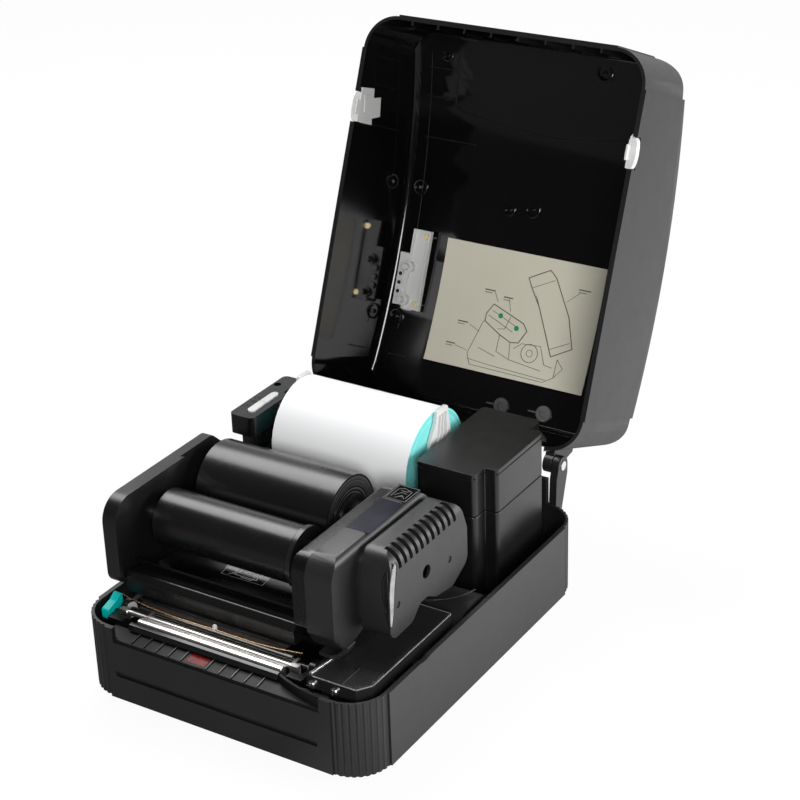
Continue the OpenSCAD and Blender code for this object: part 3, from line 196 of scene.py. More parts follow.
def split(nt, value, axis):
    n = nt.nodes.new("ShaderNodeSeparateXYZ")
    nt.links.new(value, n.inputs[0])
    return n.outputs[axis]


def texture_coordinates(nt, output):
    return nt.nodes.new("ShaderNodeTexCoord").outputs[output]


def coords(nt, scale=(1, 1, 1)):
    mp = nt.nodes.new("ShaderNodeMapping")
    mp.inputs["Scale"].default_value = scale
    nt.links.new(texture_coordinates(nt, "Object"), mp.inputs["Vector"])
    return mp.outputs["Vector"]


def noise(nt, vec, scale, detail=3.0, rough=0.5):
    n = nt.nodes.new("ShaderNodeTexNoise")
    n.inputs["Scale"].default_value = scale
    n.inputs["Detail"].default_value = detail
    n.inputs["Roughness"].default_value = rough
    nt.links.new(vec, n.inputs["Vector"])
    return n.outputs["Fac"]


def ramp(nt, value, low, high, start=0.35, end=0.65):
    """Goes from low to high while the value goes from start to end."""
    r = nt.nodes.new("ShaderNodeMapRange")
    r.inputs["From Min"].default_value = start
    r.inputs["From Max"].default_value = end
    r.inputs["To Min"].default_value = low
    r.inputs["To Max"].default_value = high
    nt.links.new(value, r.inputs["Value"])
    return r.outputs["Result"]


def mix_colour(nt, fac, first, second):
    """Mixes two colours, each an RGB triple or an output."""
    m = nt.nodes.new("ShaderNodeMix")
    m.data_type = "RGBA"
    nt.links.new(fac, m.inputs[0])
    for i, colour in ((6, first), (7, second)):
        put(nt, m.inputs[i], (*colour, 1) if isinstance(colour, tuple) else colour)
    return m.outputs[2]


def mix_value(nt, fac, first, second):
    m = nt.nodes.new("ShaderNodeMix")
    for i, value in ((0, fac), (2, first), (3, second)):
        nt.links.new(value, m.inputs[i])
    return m.outputs[0]


def mix_shader(nt, fac, first, second):
    m = nt.nodes.new("ShaderNodeMixShader")
    put(nt, m.inputs[0], fac)
    nt.links.new(first, m.inputs[1])
    nt.links.new(second, m.inputs[2])
    return m.outputs[0]


def gloss(nt, fine, rough):
    """A roughness that a fine noise breaks up between two values."""
    return ramp(nt, fine, *rough, 0.3, 0.7)


def principled(name):
    m = bpy.data.materials.new(name)
    m.use_nodes = True
    nt = m.node_tree
    nt.nodes.clear()
    out = nt.nodes.new("ShaderNodeOutputMaterial")
    b = nt.nodes.new("ShaderNodeBsdfPrincipled")
    nt.links.new(b.outputs["BSDF"], out.inputs["Surface"])
    return m, nt, b


# ---------------------------------------------------------------- materials

MATS = {}


def surface(name, tones, rough, grain=0.0, grain_scale=2500, metallic=0.0, spec=0.5,
            coat=0.0, coat_rough=0.08, mottle=14, scale=(1, 1, 1)):
    """A procedural surface: two close tones, a broken roughness and a fine grain."""
    m, nt, b = principled(name)
    vec = coords(nt, scale)
    cloud = ramp(nt, noise(nt, vec, mottle, 4), 0, 1)
    nt.links.new(mix_colour(nt, cloud, *tones), b.inputs["Base Color"])
    fine = noise(nt, vec, mottle * 6.1, *FINE_DETAIL)
    nt.links.new(gloss(nt, fine, rough), b.inputs["Roughness"])
    b.inputs["Metallic"].default_value = metallic
    b.inputs["Specular IOR Level"].default_value = spec
    b.inputs["IOR"].default_value = 1.5
    b.inputs["Coat Weight"].default_value = coat
    b.inputs["Coat Roughness"].default_value = coat_rough
    if grain:
        n = nt.nodes.new("ShaderNodeBump")
        n.inputs["Strength"].default_value = grain
        n.inputs["Distance"].default_value = BUMP_DEPTH
        nt.links.new(noise(nt, coords(nt), grain_scale, 2), n.inputs["Height"])
        nt.links.new(n.outputs["Normal"], b.inputs["Normal"])
    MATS[name] = m


def facing(nt, centre):
    """1 where a surface faces the given point of its own object, 0 where it faces away."""
    away = vector(nt, "SUBTRACT", centre, texture_coordinates(nt, "Object"))
    dot = vector(nt, "DOT_PRODUCT", away, texture_coordinates(nt, "Normal"), output="Value")
    return ramp(nt, dot, 0, 1, 0.0, 0.004)


def lined_shell(name, centre, outside, inside, rough_out, rough_in, spec):
    """A moulded shell, satin on its outside and polished on its inside."""
    m, nt, b = principled(name)
    vec = coords(nt)
    inner = facing(nt, centre)
    cloud = ramp(nt, noise(nt, vec, 14, 4), 0, 1)
    nt.links.new(mix_colour(nt, inner, mix_colour(nt, cloud, *outside),
                            mix_colour(nt, cloud, *inside)), b.inputs["Base Color"])
    fine = noise(nt, vec, 85, *FINE_DETAIL)
    nt.links.new(mix_value(nt, inner, gloss(nt, fine, rough_out), gloss(nt, fine, rough_in)),
                 b.inputs["Roughness"])
    b.inputs["Specular IOR Level"].default_value = spec
    MATS[name] = m


def wound(name, side, ends, axis, pitch, rough, spec=0.5):
    """A roll about an axis along X: plain round its side, with layer lines on its ends."""
    m, nt, b = principled(name)
    away = vector(nt, "SUBTRACT", texture_coordinates(nt, "Object"),
                  (0, axis[0] * MM, axis[1] * MM))
    radius = vector(nt, "LENGTH", vector(nt, "MULTIPLY", away, (0, 1, 1)), output="Value")
    layers = nt.nodes.new("ShaderNodeTexNoise")
    layers.noise_dimensions = "1D"
    layers.inputs["Scale"].default_value = 1 / (pitch * MM)
    layers.inputs["Detail"].default_value = 3
    nt.links.new(radius, layers.inputs["W"])
    across = scalar(nt, "ABSOLUTE", split(nt, texture_coordinates(nt, "Normal"), "X"))
    plain = mix_colour(nt, ramp(nt, noise(nt, coords(nt), 12, 4), 0, 1), *side)
    lined = mix_colour(nt, ramp(nt, layers.outputs["Fac"], 0, 1, 0.4, 0.6), *ends)
    nt.links.new(mix_colour(nt, ramp(nt, across, 0, 1, 0.6, 0.8), plain, lined),
                 b.inputs["Base Color"])
    nt.links.new(gloss(nt, noise(nt, coords(nt), 60, 4), rough), b.inputs["Roughness"])
    b.inputs["Specular IOR Level"].default_value = spec
    MATS[name] = m


def greys(first, second):
    return (first,) * 3, (second,) * 3


SATIN = ((0.0085, 0.0085, 0.0090), (0.0105, 0.0105, 0.0110))
POLISHED = ((0.0022, 0.0022, 0.0025), (0.0032, 0.0032, 0.0035))
SHELL_HEART = (0, 0.190, 0.237)         # a point inside the open cover, in metres
FILM = greys(0.0050, 0.0066)
MOULDED = greys(0.0045, 0.0060)
PAPER = ((0.90, 0.905, 0.91), (0.885, 0.89, 0.895))
TEAL_LAYERS = ((0.05, 0.52, 0.50), (0.30, 0.72, 0.70))
BRUSHED = (0.3, 1, 1)                   # noise drawn out along X

surface("case_black", SATIN, (0.34, 0.40), 0.10, 2600)
surface("frame_black", POLISHED, (0.25, 0.30), 0.03, 2200)
lined_shell("cover_black", SHELL_HEART, SATIN, POLISHED, (0.34, 0.40), (0.07, 0.10), 0.4)
surface("foot_rubber", greys(0.02, 0.03), (0.7, 0.85), 0.4, 2000)
surface("screw_steel", ((0.72, 0.72, 0.7), (0.55, 0.55, 0.54)), (0.2, 0.34), metallic=1.0,
        mottle=300)
surface("brass", ((0.80, 0.66, 0.38), (0.68, 0.53, 0.28)), (0.2, 0.32), metallic=1.0,
        mottle=300)
surface("red_window", ((0.16, 0.004, 0.005), (0.10, 0.002, 0.003)), (0.2, 0.3), mottle=90,
        spec=0.15)
surface("deck_paint", ((0.016, 0.016, 0.017), (0.012, 0.012, 0.013)), (0.26, 0.32), 0.04,
        3000, coat=0.5, coat_rough=0.16)
surface("bright_steel", ((0.80, 0.79, 0.76), (0.70, 0.69, 0.66)), (0.30, 0.38),
        metallic=1.0, mottle=40, scale=BRUSHED)
surface("white_plastic", ((0.62, 0.62, 0.61), (0.56, 0.56, 0.55)), (0.3, 0.4), 0.04)
surface("bronze_wire", ((0.62, 0.4, 0.2), (0.5, 0.3, 0.14)), (0.2, 0.32), metallic=1.0,
        mottle=300)
surface("lens_plastic", ((0.03, 0.035, 0.03), (0.02, 0.025, 0.02)), (0.08, 0.14), coat=0.5)
surface("board_green", ((0.02, 0.12, 0.05), (0.03, 0.16, 0.07)), (0.3, 0.4))
surface("switch_black", greys(0.01, 0.014), (0.12, 0.2), coat=0.4)
surface("label_beige", ((0.70, 0.675, 0.55), (0.66, 0.635, 0.515)), (0.30, 0.36), 0.02,
        1500, mottle=9)
surface("key_grey", greys(0.03, 0.04), (0.3, 0.4))
surface("bright_aluminium", greys(0.22, 0.16), (0.3, 0.42), metallic=1.0)
# dark brown in place of the print head's pale ceramic: painted shade for the head under its
# bracket
surface("ceramic", ((0.05, 0.045, 0.04), (0.035, 0.03, 0.028)), (0.2, 0.3))
surface("spindle_grey", greys(0.010, 0.014), (0.22, 0.3))
wound("rewind_film", FILM, greys(0.003, 0.03), REWIND_AXIS, 1.1, (0.25, 0.28))
wound("supply_film", FILM, greys(0.003, 0.05), SUPPLY_AXIS, 1.3, (0.25, 0.28))
wound("label_web", PAPER, TEAL_LAYERS, LABEL_AXIS, 0.9, (0.4, 0.5), 0.3)
surface("teal_plastic", ((0.0005, 0.50, 0.47), (0.0005, 0.44, 0.42)), (0.32, 0.40), 0.02,
        spec=0.18)
surface("platen_rubber", greys(0.006, 0.009), (0.16, 0.22), 0.05)
surface("print_grey", ((0.075, 0.08, 0.06), (0.10, 0.105, 0.08)), (0.35, 0.45), mottle=60)
surface("print_white", greys(0.42, 0.34), (0.35, 0.45), mottle=60)
surface("print_mid", greys(0.22, 0.16), (0.35, 0.45), mottle=60)
surface("print_green", ((0.01, 0.33, 0.16), (0.01, 0.26, 0.13)), (0.3, 0.4), mottle=60)
surface("sticker_black", POLISHED, (0.12, 0.17), mottle=30)
surface("housing_black", greys(0.0105, 0.0130), (0.38, 0.46), 0.06, 2200, spec=0.6)
surface("deck_satin", greys(0.022, 0.018), (0.24, 0.32), 0.04, 2600)
# light grey of the gear cover's leaf recess: a painted reflection on black plastic
surface("leaf_painted_reflection", greys(0.30, 0.20), (0.2, 0.3), mottle=120, coat=0.3)
# dark glossy blue: painted bluish reflection on the middle cover's top
surface("band_painted_blue_reflection", ((0.012, 0.014, 0.024), (0.009, 0.011, 0.019)), (0.15, 0.2))
surface("guide_black", greys(0.0040, 0.0055), (0.26, 0.32), 0.03, 2200, spec=0.4)
surface("tower_black", MOULDED, (0.30, 0.36), 0.04, 2200)
surface("plate_black", MOULDED, (0.30, 0.36), 0.08, 2200)
# lighter grey for the outlet ribs' tops: painted highlight
surface("rib_top_painted_highlight", greys(0.020, 0.014), (0.26, 0.32), mottle=60)
surface("ramp_black", greys(0.0030, 0.0042), (0.42, 0.5), 0.05, 2200, spec=0.22)
surface("seam_black", greys(0.0035, 0.005), (0.40, 0.48), spec=0.4)
# brushed metal of the bright strips by the platen: painted highlights
surface("highlight_strip_metal", ((0.42, 0.40, 0.37), (0.30, 0.29, 0.27)), (0.30, 0.38),
        metallic=1.0, mottle=40, scale=BRUSHED)
# grey metal lines along the deck's edges: painted highlights
surface("edge_painted_highlight", greys(0.40, 0.28), (0.28, 0.36), metallic=0.6, mottle=80)
surface("hub_grey", greys(0.12, 0.09), (0.22, 0.32))

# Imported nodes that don't wear the finish named by their material slot
OWN_FINISH = {"cover_shell": "cover_black", "rewind_ribbon": "rewind_film",
              "supply_ribbon": "supply_film", "label_roll": "label_web",
              "bracket_screws": "brass", "pause_key": "white_plastic",
              "feed_key": "white_plastic", "tower_lower": "tower_black",
              "tower_cap": "tower_black", "gear_cover": "housing_black",
              "middle_cover": "housing_black", "film_guide": "guide_black",
              "rear_hump": "housing_black", "left_plate": "plate_black",
              "outlet_ramp": "ramp_black"}
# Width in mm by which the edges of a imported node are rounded
EDGES = {"tower_lower": 1.1, "tower_cap": 0.9, "left_plate": 1.0, "inner_housing": 0.7,
         "middle_cover": 0.8, "gear_cover": 1.0, "operator_panel": 0.5, "metal_deck": 0.6,
         "case_shell": 0.5, "cover_shell": 0.5, "rear_hump": 0.5, "outlet_ramp": 0.3,
         "film_guide": 0.4, "print_frame": 0.3, "tear_bar": 0.5, "tear_bar_cover": 0.3,
         "release_lever": 0.7, "latch_left": 0.4, "latch_right": 0.4, "key_bracket": 0.3,
         "carriage_posts": 0.4, "bay_floor": 0.3, "hinge_posts": 0.4, "cover_arms": 0.4,
         "power_inlet": 0.4, "power_switch": 0.5, "guide_left": 0.4, "guide_right": 0.4,
         "pause_button": 0.4, "feed_button": 0.4}
# Nodes whose flat faces stay as packed, because merging them would tangle the bevel
UNMERGED = ("outlet_ramp", "print_frame", "bay_floor")


def dress_nodes():
    slots = {s["node"]: s["material_slot"] for s in frame["record"]["subparts"]}
    for name, obj in nodes.items():
        obj.data.materials.clear()
        obj.data.materials.append(MATS[OWN_FINISH.get(name, slots[name])])
        if name in EDGES:
            soften(obj, EDGES[name] * MM, name not in UNMERGED)
        else:
            shade(obj)


dress_nodes()


# ---------------------------------------------------------------- places for own pieces

PIVOT = Vector(HINGE_AT) * MM
# Takes a shape drawn on the closed cover to where the open cover stands at rest
OPENED = (Matrix.Translation(PIVOT) @ Matrix.Rotation(math.radians(-OPEN_ANGLE), 4, "X")
          @ Matrix.Translation(-PIVOT))


def roof_z(y, radius=ROOF_IN):
    """Height in mm of the closed cover's arched roof, inside or outside."""
    return CLOSED_H - ROOF_OUT + math.sqrt(radius ** 2 - (y - ROOF_CROWN) ** 2)


# Each place turns (u, v, w), with w the height above a surface, into a point in metres.

def on_roof(u, v, w):
    """Under the closed cover's inner roof: u is X, v is Y."""
    return Vector((u, v, roof_z(v) - w)) * MM


def on_label(u, v, w):
    """On the instruction label, from its lower left corner."""
    return on_roof(u - 68, v + 14, w + 0.4)


def on_top(z):
    return lambda u, v, w: Vector((u, v, z + w)) * MM


def on_right(x):
    return lambda u, v, w: Vector((x + w, u, v)) * MM


def on_front(y):
    return lambda u, v, w: Vector((u, y - w, v)) * MM


def in_trough(u, v, w):
    """On the concave film guide: v is the angle from straight down, in degrees."""
    r, t = TROUGH_R - w, math.radians(v)
    y, z = REWIND_AXIS
    return Vector((u, y + r * math.sin(t), z - r * math.cos(t))) * MM


# ---------------------------------------------------------------- shapes for own pieces

MITRE_LIMIT = 0.45      # smallest share of a strip's width that a sharp corner keeps


def slab(bm, outline, span, place):
    """Closed plate of an outline, between the two heights of its span."""
    a, b = ([bm.verts.new(place(u, v, w)) for u, v in outline] for w in span)
    bm.faces.new(a[::-1])
    bm.faces.new(b)
    for i in range(len(a)):
        j = (i + 1) % len(a)
        bm.faces.new((a[i], a[j], b[j], b[i]))


def line(bm, points, width, span, place, closed=False):
    """Raised strip of even width along a run of points, mitred at its corners."""
    p = [Vector(q) for q in points]
    n = len(p)
    low, high = span
    rows = []
    for i in range(n):
        came = (p[i] - p[i - 1]).normalized() if i or closed else None
        goes = (p[(i + 1) % n] - p[i]).normalized() if i < n - 1 or closed else None
        first, second = came or goes, goes or came
        ahead = (first + second).normalized()
        side = Vector((-ahead.y, ahead.x))
        share = max(MITRE_LIMIT, side.dot(Vector((-first.y, first.x))))
        k = width / 2 / share
        e1, e2 = p[i] + side * k, p[i] - side * k
        rows.append([bm.verts.new(place(e.x, e.y, w))
                     for e, w in ((e1, low), (e1, high), (e2, high), (e2, low))])
    for i in range(n if closed else n - 1):
        r1, r2 = rows[i], rows[(i + 1) % n]
        for k in range(4):
            bm.faces.new((r1[k], r1[(k + 1) % 4], r2[(k + 1) % 4], r2[k]))
    if not closed:
        bm.faces.new(rows[0][::-1])
        bm.faces.new(rows[-1])


def lathe(bm, profile, centre, axis, count=40):
    """Solid of revolution of (radius, height) points about an axis through a centre."""
    turn = Vector((0, 0, 1)).rotation_difference(Vector(axis)).to_matrix()
    c = Vector(centre)
    rings = []
    for r, h in profile:
        angles = [2 * math.pi * i / count for i in range(count)] if r else [0]
        rings.append([bm.verts.new((c + turn @ Vector((r * math.cos(a), r * math.sin(a), h)))
                                   * MM) for a in angles])
    loop = profile[0][0] != 0
    for i in range(len(rings) if loop else len(rings) - 1):
        a, b = rings[i], rings[(i + 1) % len(rings)]
        for k in range(count):
            m = (k + 1) % count
            if len(a) == 1:
                bm.faces.new((a[0], b[k], b[m]))
            elif len(b) == 1:
                bm.faces.new((a[k], b[0], a[m]))
            else:
                bm.faces.new((a[k], b[k], b[m], a[m]))


def dense(points, closed=False, step=2.5):
    """The same run of points with more of them, to follow a curved surface."""
    out = []
    for a, b in zip(points, points[1:] + (points[:1] if closed else [])):
        a, b = Vector(a), Vector(b)
        n = max(1, math.ceil((b - a).length / step))
        out += [tuple(a.lerp(b, i / n)) for i in range(n)]
    return out if closed else out + [tuple(points[-1])]


def circle(u, v, r, n=20):
    return [(u + r * math.cos(2 * math.pi * i / n), v + r * math.sin(2 * math.pi * i / n))
            for i in range(n)]


def box(u0, v0, u1, v1):
    return [(u0, v0), (u0, v1), (u1, v1), (u1, v0)]


def finish_piece(name, data, mat, body):
    """Adds a piece of its own to the scene, on the body that carries it."""
    data.materials.append(MATS[mat])
    o = add_object(name, data)
    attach(o, body)
    return o


def piece(name, bm, mat, body, bevel=0.0, move=None):
    bmesh.ops.recalc_face_normals(bm, faces=bm.faces)
    me = bpy.data.meshes.new(name)
    bm.to_mesh(me)
    bm.free()
    if move:
        me.transform(move)
    o = finish_piece(name, me, mat, body)
    if bevel:
        soften(o, bevel * MM, merge_flats=False)
    else:
        shade(o)
    return o


def tube(name, points, radius, mat, body):
    """Round wire through the given points, in mm."""
    cu = bpy.data.curves.new(name, "CURVE")
    cu.dimensions = "3D"
    cu.bevel_depth = radius * MM
    cu.bevel_resolution = 4
    cu.use_fill_caps = True
    cu.resolution_u = 8
    sp = cu.splines.new("NURBS")
    sp.points.add(len(points) - 1)
    for q, p in zip(sp.points, points):
        q.co = (*(Vector(p) * MM), 1)
    sp.use_endpoint_u = True
    sp.order_u = 3
    return finish_piece(name, cu, mat, body)


# ---------------------------------------------------------------- instruction label

INK = (-0.1, 0.06)      # heights of a printed line, which starts in the surface below it

LABEL_SHELL = [(75, 18), (92, 9), (98, 14), (114, 41), (122, 64), (106, 73), (88, 38), (79, 25)]
LABEL_CARRIAGE = [(45, 51), (50, 43), (78, 53), (82, 58), (77, 68), (70, 69), (60, 65),
                  (45, 57)]
LABEL_THIN = [[(79, 25), (97, 16)], [(103, 68), (119, 60)], [(84, 30), (101, 63)],
              [(112, 74), (118, 80), (112, 88)],
              [(50, 48), (74, 57)], [(47, 52), (70, 61)], [(66, 50), (63, 60), (57, 61)],
              [(36, 84), (44, 57)], [(36, 84), (40, 92), (104, 93)],
              [(37, 88), (60, 89.5), (106, 91)], [(104, 93), (112, 88), (112, 74)],
              [(74, 73), (80, 68), (96, 67), (102, 80), (109, 81)], [(70, 69), (72, 82)],
              [(60, 65), (60, 78), (72, 82), (100, 85)], [(44, 78), (60, 82)]]
LABEL_LEADERS = [[(49, 34), (53, 41)], [(62, 37), (65, 46)], [(33, 62), (42, 66)],
                 [(120, 21), (110, 30)], [(24, 80), (35, 82)]]
LABEL_CAPTIONS = ((40, 33, 9), (57, 36, 8), (118, 19, 10), (22, 61, 9), (16, 79, 8))


def add_label_drawing():
    """A plain line drawing of an open printer, with blank bars where captions would be."""
    bm = bmesh.new()
    for outline in (LABEL_SHELL, LABEL_CARRIAGE):
        line(bm, outline, 0.7, INK, on_label, True)
    for p in LABEL_THIN:
        line(bm, p, 0.4, INK, on_label)
    for radius, width in ((7, 0.5), (2.6, 0.4)):
        line(bm, circle(88, 74, radius), width, INK, on_label, True)
    for p in LABEL_LEADERS:
        line(bm, p, 0.35, INK, on_label)
    for u, v, length in LABEL_CAPTIONS:
        line(bm, [(u, v), (u + length, v)], 0.9, INK, on_label)
        line(bm, [(u, v + 2), (u + length * 0.7, v + 2)], 0.5, INK, on_label)
    piece("label_lines", bm, "print_grey", "cover", move=OPENED)
    bm = bmesh.new()
    for u, v in ((57.5, 50.7), (72.8, 57.6)):
        slab(bm, circle(u, v, 2.0), (-0.1, 0.08), on_label)
    piece("label_dots", bm, "print_green", "cover", move=OPENED)


# ---------------------------------------------------------------- inside of the cover

def add_cover_seams():
    """Faint marks of the mould in the roof."""
    bm = bmesh.new()
    seam = [(-73, -128), (-73.5, -112), (-74, -95), (-74.4, -86), (-66, -83), (-52.6, -80.6),
            (-30.5, -77.4), (-8.7, -75), (16.9, -74.3), (38.5, -75.9), (59.6, -79.2),
            (80, -84), (100, -90)]
    line(bm, seam, 1.2, (-0.3, 0.5), on_roof)
    line(bm, [(-97, y) for y in range(-124, 104, 12)], 0.8, (-0.3, 0.15), on_roof)
    for y, x1 in ((-113, -74), (-91, -75), (-60, -54), (112, -84)):
        line(bm, [(-100, y), (x1, y)], 1.0, (-0.3, 0.4), on_roof)
    piece("cover_seams", bm, "seam_black", "cover", 0.25, OPENED)


def add_cover_bosses():
    """Screw bosses: a hollow ring with a core."""
    bm = bmesh.new()
    for x, y, r in ((-18.5, -15.9, 5), (0.9, -19.2, 6.5), (-98.7, -20.5, 6.3),
                    (-100.2, 82.4, 6.3), (50.6, -127, 6.5), (-83, -123, 5)):
        at = (x, y, roof_z(y))
        lathe(bm, [(r, 0.6), (r, -1.1), (r - 0.5, -1.4), (r - 1.3, -1.4), (r - 1.6, -1.1),
                   (r - 1.6, 0.6)], at, (0, 0, 1))
        lathe(bm, [(0, 0.5), (1.7, 0.5), (1.7, -1.2), (1.3, -1.5), (0, -1.5)], at,
              (0, 0, 1), 24)
    piece("cover_bosses", bm, "sticker_black", "cover", 0, OPENED)


def add_cover_discs():
    """Two dished discs near the hinge, each with a short runner."""
    bm = bmesh.new()
    for x, y in ((8, 131), (44, 129.5)):
        lathe(bm, [(0, 0.5), (6.2, 0.5), (6.2, -1.8), (5.7, -2.3), (2.8, -2.3), (2.5, -1.4),
                   (0, -1.4)], (x, y, roof_z(y)), (0, 0, 1))
        slab(bm, [(x - 6.5, y - 0.7), (x - 6.5, y + 0.7), (x - 13, y + 0.4), (x - 13, y - 0.4)],
             (-0.3, 1.6), on_roof)
    piece("cover_discs", bm, "hub_grey", "cover", 0, OPENED)


def add_cover_ribs():
    """Thin ribs down the front wall."""
    bm = bmesh.new()
    for x in (-66, -44, -22, 0):
        slab(bm, [(-139.6, 76), (-139.6, 124), (-137.2, 124), (-137.8, 76)], (-0.6, 0.6),
             on_right(x))
    piece("cover_ribs", bm, "sticker_black", "cover", 0.3, OPENED)


LATCH_Y, LATCH_HALF = -73.0, 11.0           # middle and half length of a latch
LATCH_INNER, LATCH_OUTER = 110.2, 114.4     # X of its block, left or right
LATCH_BULGE = 2.7                           # that the round knob stands out by
LATCH_SPAN = (58.4, 63.7)                   # its heights on the closed cover
HOOK_SPAN = (54.6, 59)
HOOK_OUTER, HOOK_HALF = 112.1, 5.5


def latch_knob(side):
    """Half-round latch knob with a hook, on the side wall at +X (1) or -X (-1)."""
    bm = bmesh.new()
    front, rear = LATCH_Y - LATCH_HALF, LATCH_Y + LATCH_HALF
    pts = [(LATCH_INNER, front), (LATCH_OUTER, front)]
    pts += [(LATCH_OUTER + LATCH_BULGE * math.sin(math.pi * i / 12),
             LATCH_Y - LATCH_HALF * math.cos(math.pi * i / 12)) for i in range(1, 12)]
    pts += [(LATCH_OUTER, rear), (LATCH_INNER, rear)]
    slab(bm, [(side * u, v) for u, v in pts], LATCH_SPAN, on_top(0))
    hook = [(LATCH_INNER, LATCH_Y - HOOK_HALF), (HOOK_OUTER, LATCH_Y - HOOK_HALF),
            (HOOK_OUTER, LATCH_Y + HOOK_HALF), (LATCH_INNER, LATCH_Y + HOOK_HALF)]
    slab(bm, [(side * u, v) for u, v in hook], HOOK_SPAN, on_top(0))
    return bm


def add_latches():
    """The knobs in place of the plain latch blocks, and the plates they sit on, which are
    drawn where the open cover holds them."""
    knob = piece("latch_knob_left", latch_knob(-1), "white_plastic", "left_catch",
                 0.6, OPENED)
    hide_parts("latch_left")
    knob = piece("latch_knob_right", latch_knob(1), "white_plastic", "right_catch",
                 0.6, OPENED)
    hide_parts("latch_right")
    bm = bmesh.new()
    plate = [(222.5, 318.3), (239.1, 312.5), (237.5, 305.5), (247.5, 303), (245, 288.5),
             (233.5, 290.5), (233, 285.5), (217.2, 292.5)]
    slab(bm, plate, (0.3, 1.4), on_right(-COVER_SIDE))
    slab(bm, [(225, 312), (235, 308.5), (233, 296), (223, 298.5)], (1.2, 1.9),
         on_right(-COVER_SIDE))
    piece("latch_plate_left", bm, "white_plastic", "left_catch", 0.3)
    bm = bmesh.new()
    plate = [(232, 316), (225, 316)]
    plate += [(224 - 8 * math.sin(math.pi * i / 8), 304 + 12 * math.cos(math.pi * i / 8))
              for i in range(9)]
    plate += [(225, 292), (232, 292)]
    slab(bm, plate, (-2.2, -0.3), on_right(COVER_SIDE))
    piece("latch_plate_right", bm, "white_plastic", "right_catch", 0.5)


def add_key_guide():
    """Dark discs on the bracket that holds the keys: painted shade standing for its holes."""
    bm = bmesh.new()
    # dark discs as painted shade of holes
    for y in (48, 55, 62):
        lathe(bm, [(0, 0.4), (1.6, 0.4), (1.6, -0.15), (0, -0.15)], (-99, y, 141.5),
              (0, 0, 1), 24)
    piece("guide_hole_shades", bm, "sticker_black", "cover", 0, OPENED)


# ---------------------------------------------------------------- print zone and deck

WIRE_POINTS = [(-97, -114.5, 65.2), (-88, -115, 63.4), (-72, -115, 61.2), (-50, -115.4, 60.6),
               (-18, -115.4, 61.2), (14, -115.4, 61.0), (36, -115, 62.6), (50, -114.5, 64.6)]
WIRE_RADIUS = 0.35
# Bright metal strips along the platen that paint its highlight lines
HIGHLIGHT_STRIPS = ((-117.9, 57.3, 0.35), (-116.2, 57.9, 0.3), (-114.6, 58.4, 0.3))  # Y, Z, half width
CLIP_FACE = -113.6      # Y of the small clip on the wire


def add_print_zone():
    """Bowed ribbon wire in place of its straight stand-in, bright strips that paint the
    platen's highlight lines, and a clip.
    """
    wire = tube("ribbon_wire", WIRE_POINTS, WIRE_RADIUS, "bronze_wire", "base")
    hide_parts("hold_down_wire")
    bm = bmesh.new()
    for y, z, w in HIGHLIGHT_STRIPS:
        slab(bm, [(y - w, z - 0.5), (y - w, z), (y - w + 0.2, z + 0.2), (y + w - 0.2, z + 0.2),
                  (y + w, z), (y + w, z - 0.5)], (-70, 44), on_right(0))
    for x in (-71, 44.5):
        slab(bm, box(x - 1.2, -121, x + 1.2, -112), (-2, 0.2), on_top(57.8))
    piece("platen_highlight_strips", bm, "highlight_strip_metal", "base")
    bm = bmesh.new()
    slab(bm, [(-21.5, 59.4), (-21.5, 63.6), (-20.8, 64.4), (-19.2, 64.4), (-18.5, 63.6),
              (-18.5, 59.4)], (0, 1.6), on_front(CLIP_FACE))
    slab(bm, box(-20.8, 61.2, -19.2, 62.6), (1.5, 2.4), on_front(CLIP_FACE))
    piece("wire_clip", bm, "white_plastic", "base", 0.3)


def add_deck_details():
    """A satin patch, a bright strip and the heads of the deck's two screws."""
    deck = on_top(DECK_TOP)
    bm = bmesh.new()
    line(bm, [(87.5, -127.4), (87.5, -107), (103.8, -104.8), (103.8, -118.5), (97.2, -127.4)],
         0.8, (-0.2, 0.45), deck, True)
    slab(bm, [(88.4, -126.4), (88.4, -107.9), (102.9, -106), (102.9, -118.2), (96.8, -126.4)],
         (-0.2, 0.2), deck)
    piece("deck_patch", bm, "deck_satin", "base", 0.2)
    bm = bmesh.new()
    slab(bm, [(62.6, -126.6), (64.6, -126.6), (67.2, -104.6), (65.4, -104.4)], (-0.3, 0.7),
         deck)
    piece("deck_strip", bm, "bright_steel", "base", 0.2)
    bm = bmesh.new()
    face, z = -130.2, 55.0
    for x in (66, 83):
        lathe(bm, [(0, 1.0), (1.2, 1.1), (2.3, 0.8), (3.0, 0.1), (3.0, -0.4), (0, -0.4)],
              (x, face, z), (0, -1, 0), 32)
        for slot in ([(x - 2.1, z), (x + 2.1, z)], [(x, z - 2.1), (x, z + 2.1)]):
            line(bm, slot, 0.5, (0.8, 1.2), on_front(face))
    piece("deck_screw_heads", bm, "screw_steel", "base")


def add_edge_lines():
    """Bright lines painted as highlights along the deck's edges and on the tops of the outlet
    ribs.
    """
    bm = bmesh.new()
    # painted highlight lines along the deck's right, front and rear edges
    for run in ([(105.1, -118), (105.1, -24)], [(98.6, -128.2), (105.1, -118.6)],
                [(66, -128.2), (98.0, -128.2)], [(64, -23.2), (104.6, -23.2)]):
        line(bm, run, 0.9, (-0.5, 0.12), on_top(DECK_TOP))
    piece("deck_edge_highlights", bm, "edge_painted_highlight", "base", 0.15)
    bm = bmesh.new()
    # lighter strips on the ribs' tops: painted highlight
    for i in (0, 1, 2, 3, 4, 6, 7, 8, 9, 10):       # the sixth would cross the red window
        slab(bm, [(-142.8, 50.7), (-131.8, 52.2), (-131.8, 52.5), (-142.8, 51.0)],
             (-0.25, 0.25), on_right(-68 + 10.1 * i))
    piece("ramp_rib_top_highlights", bm, "rib_top_painted_highlight", "base")


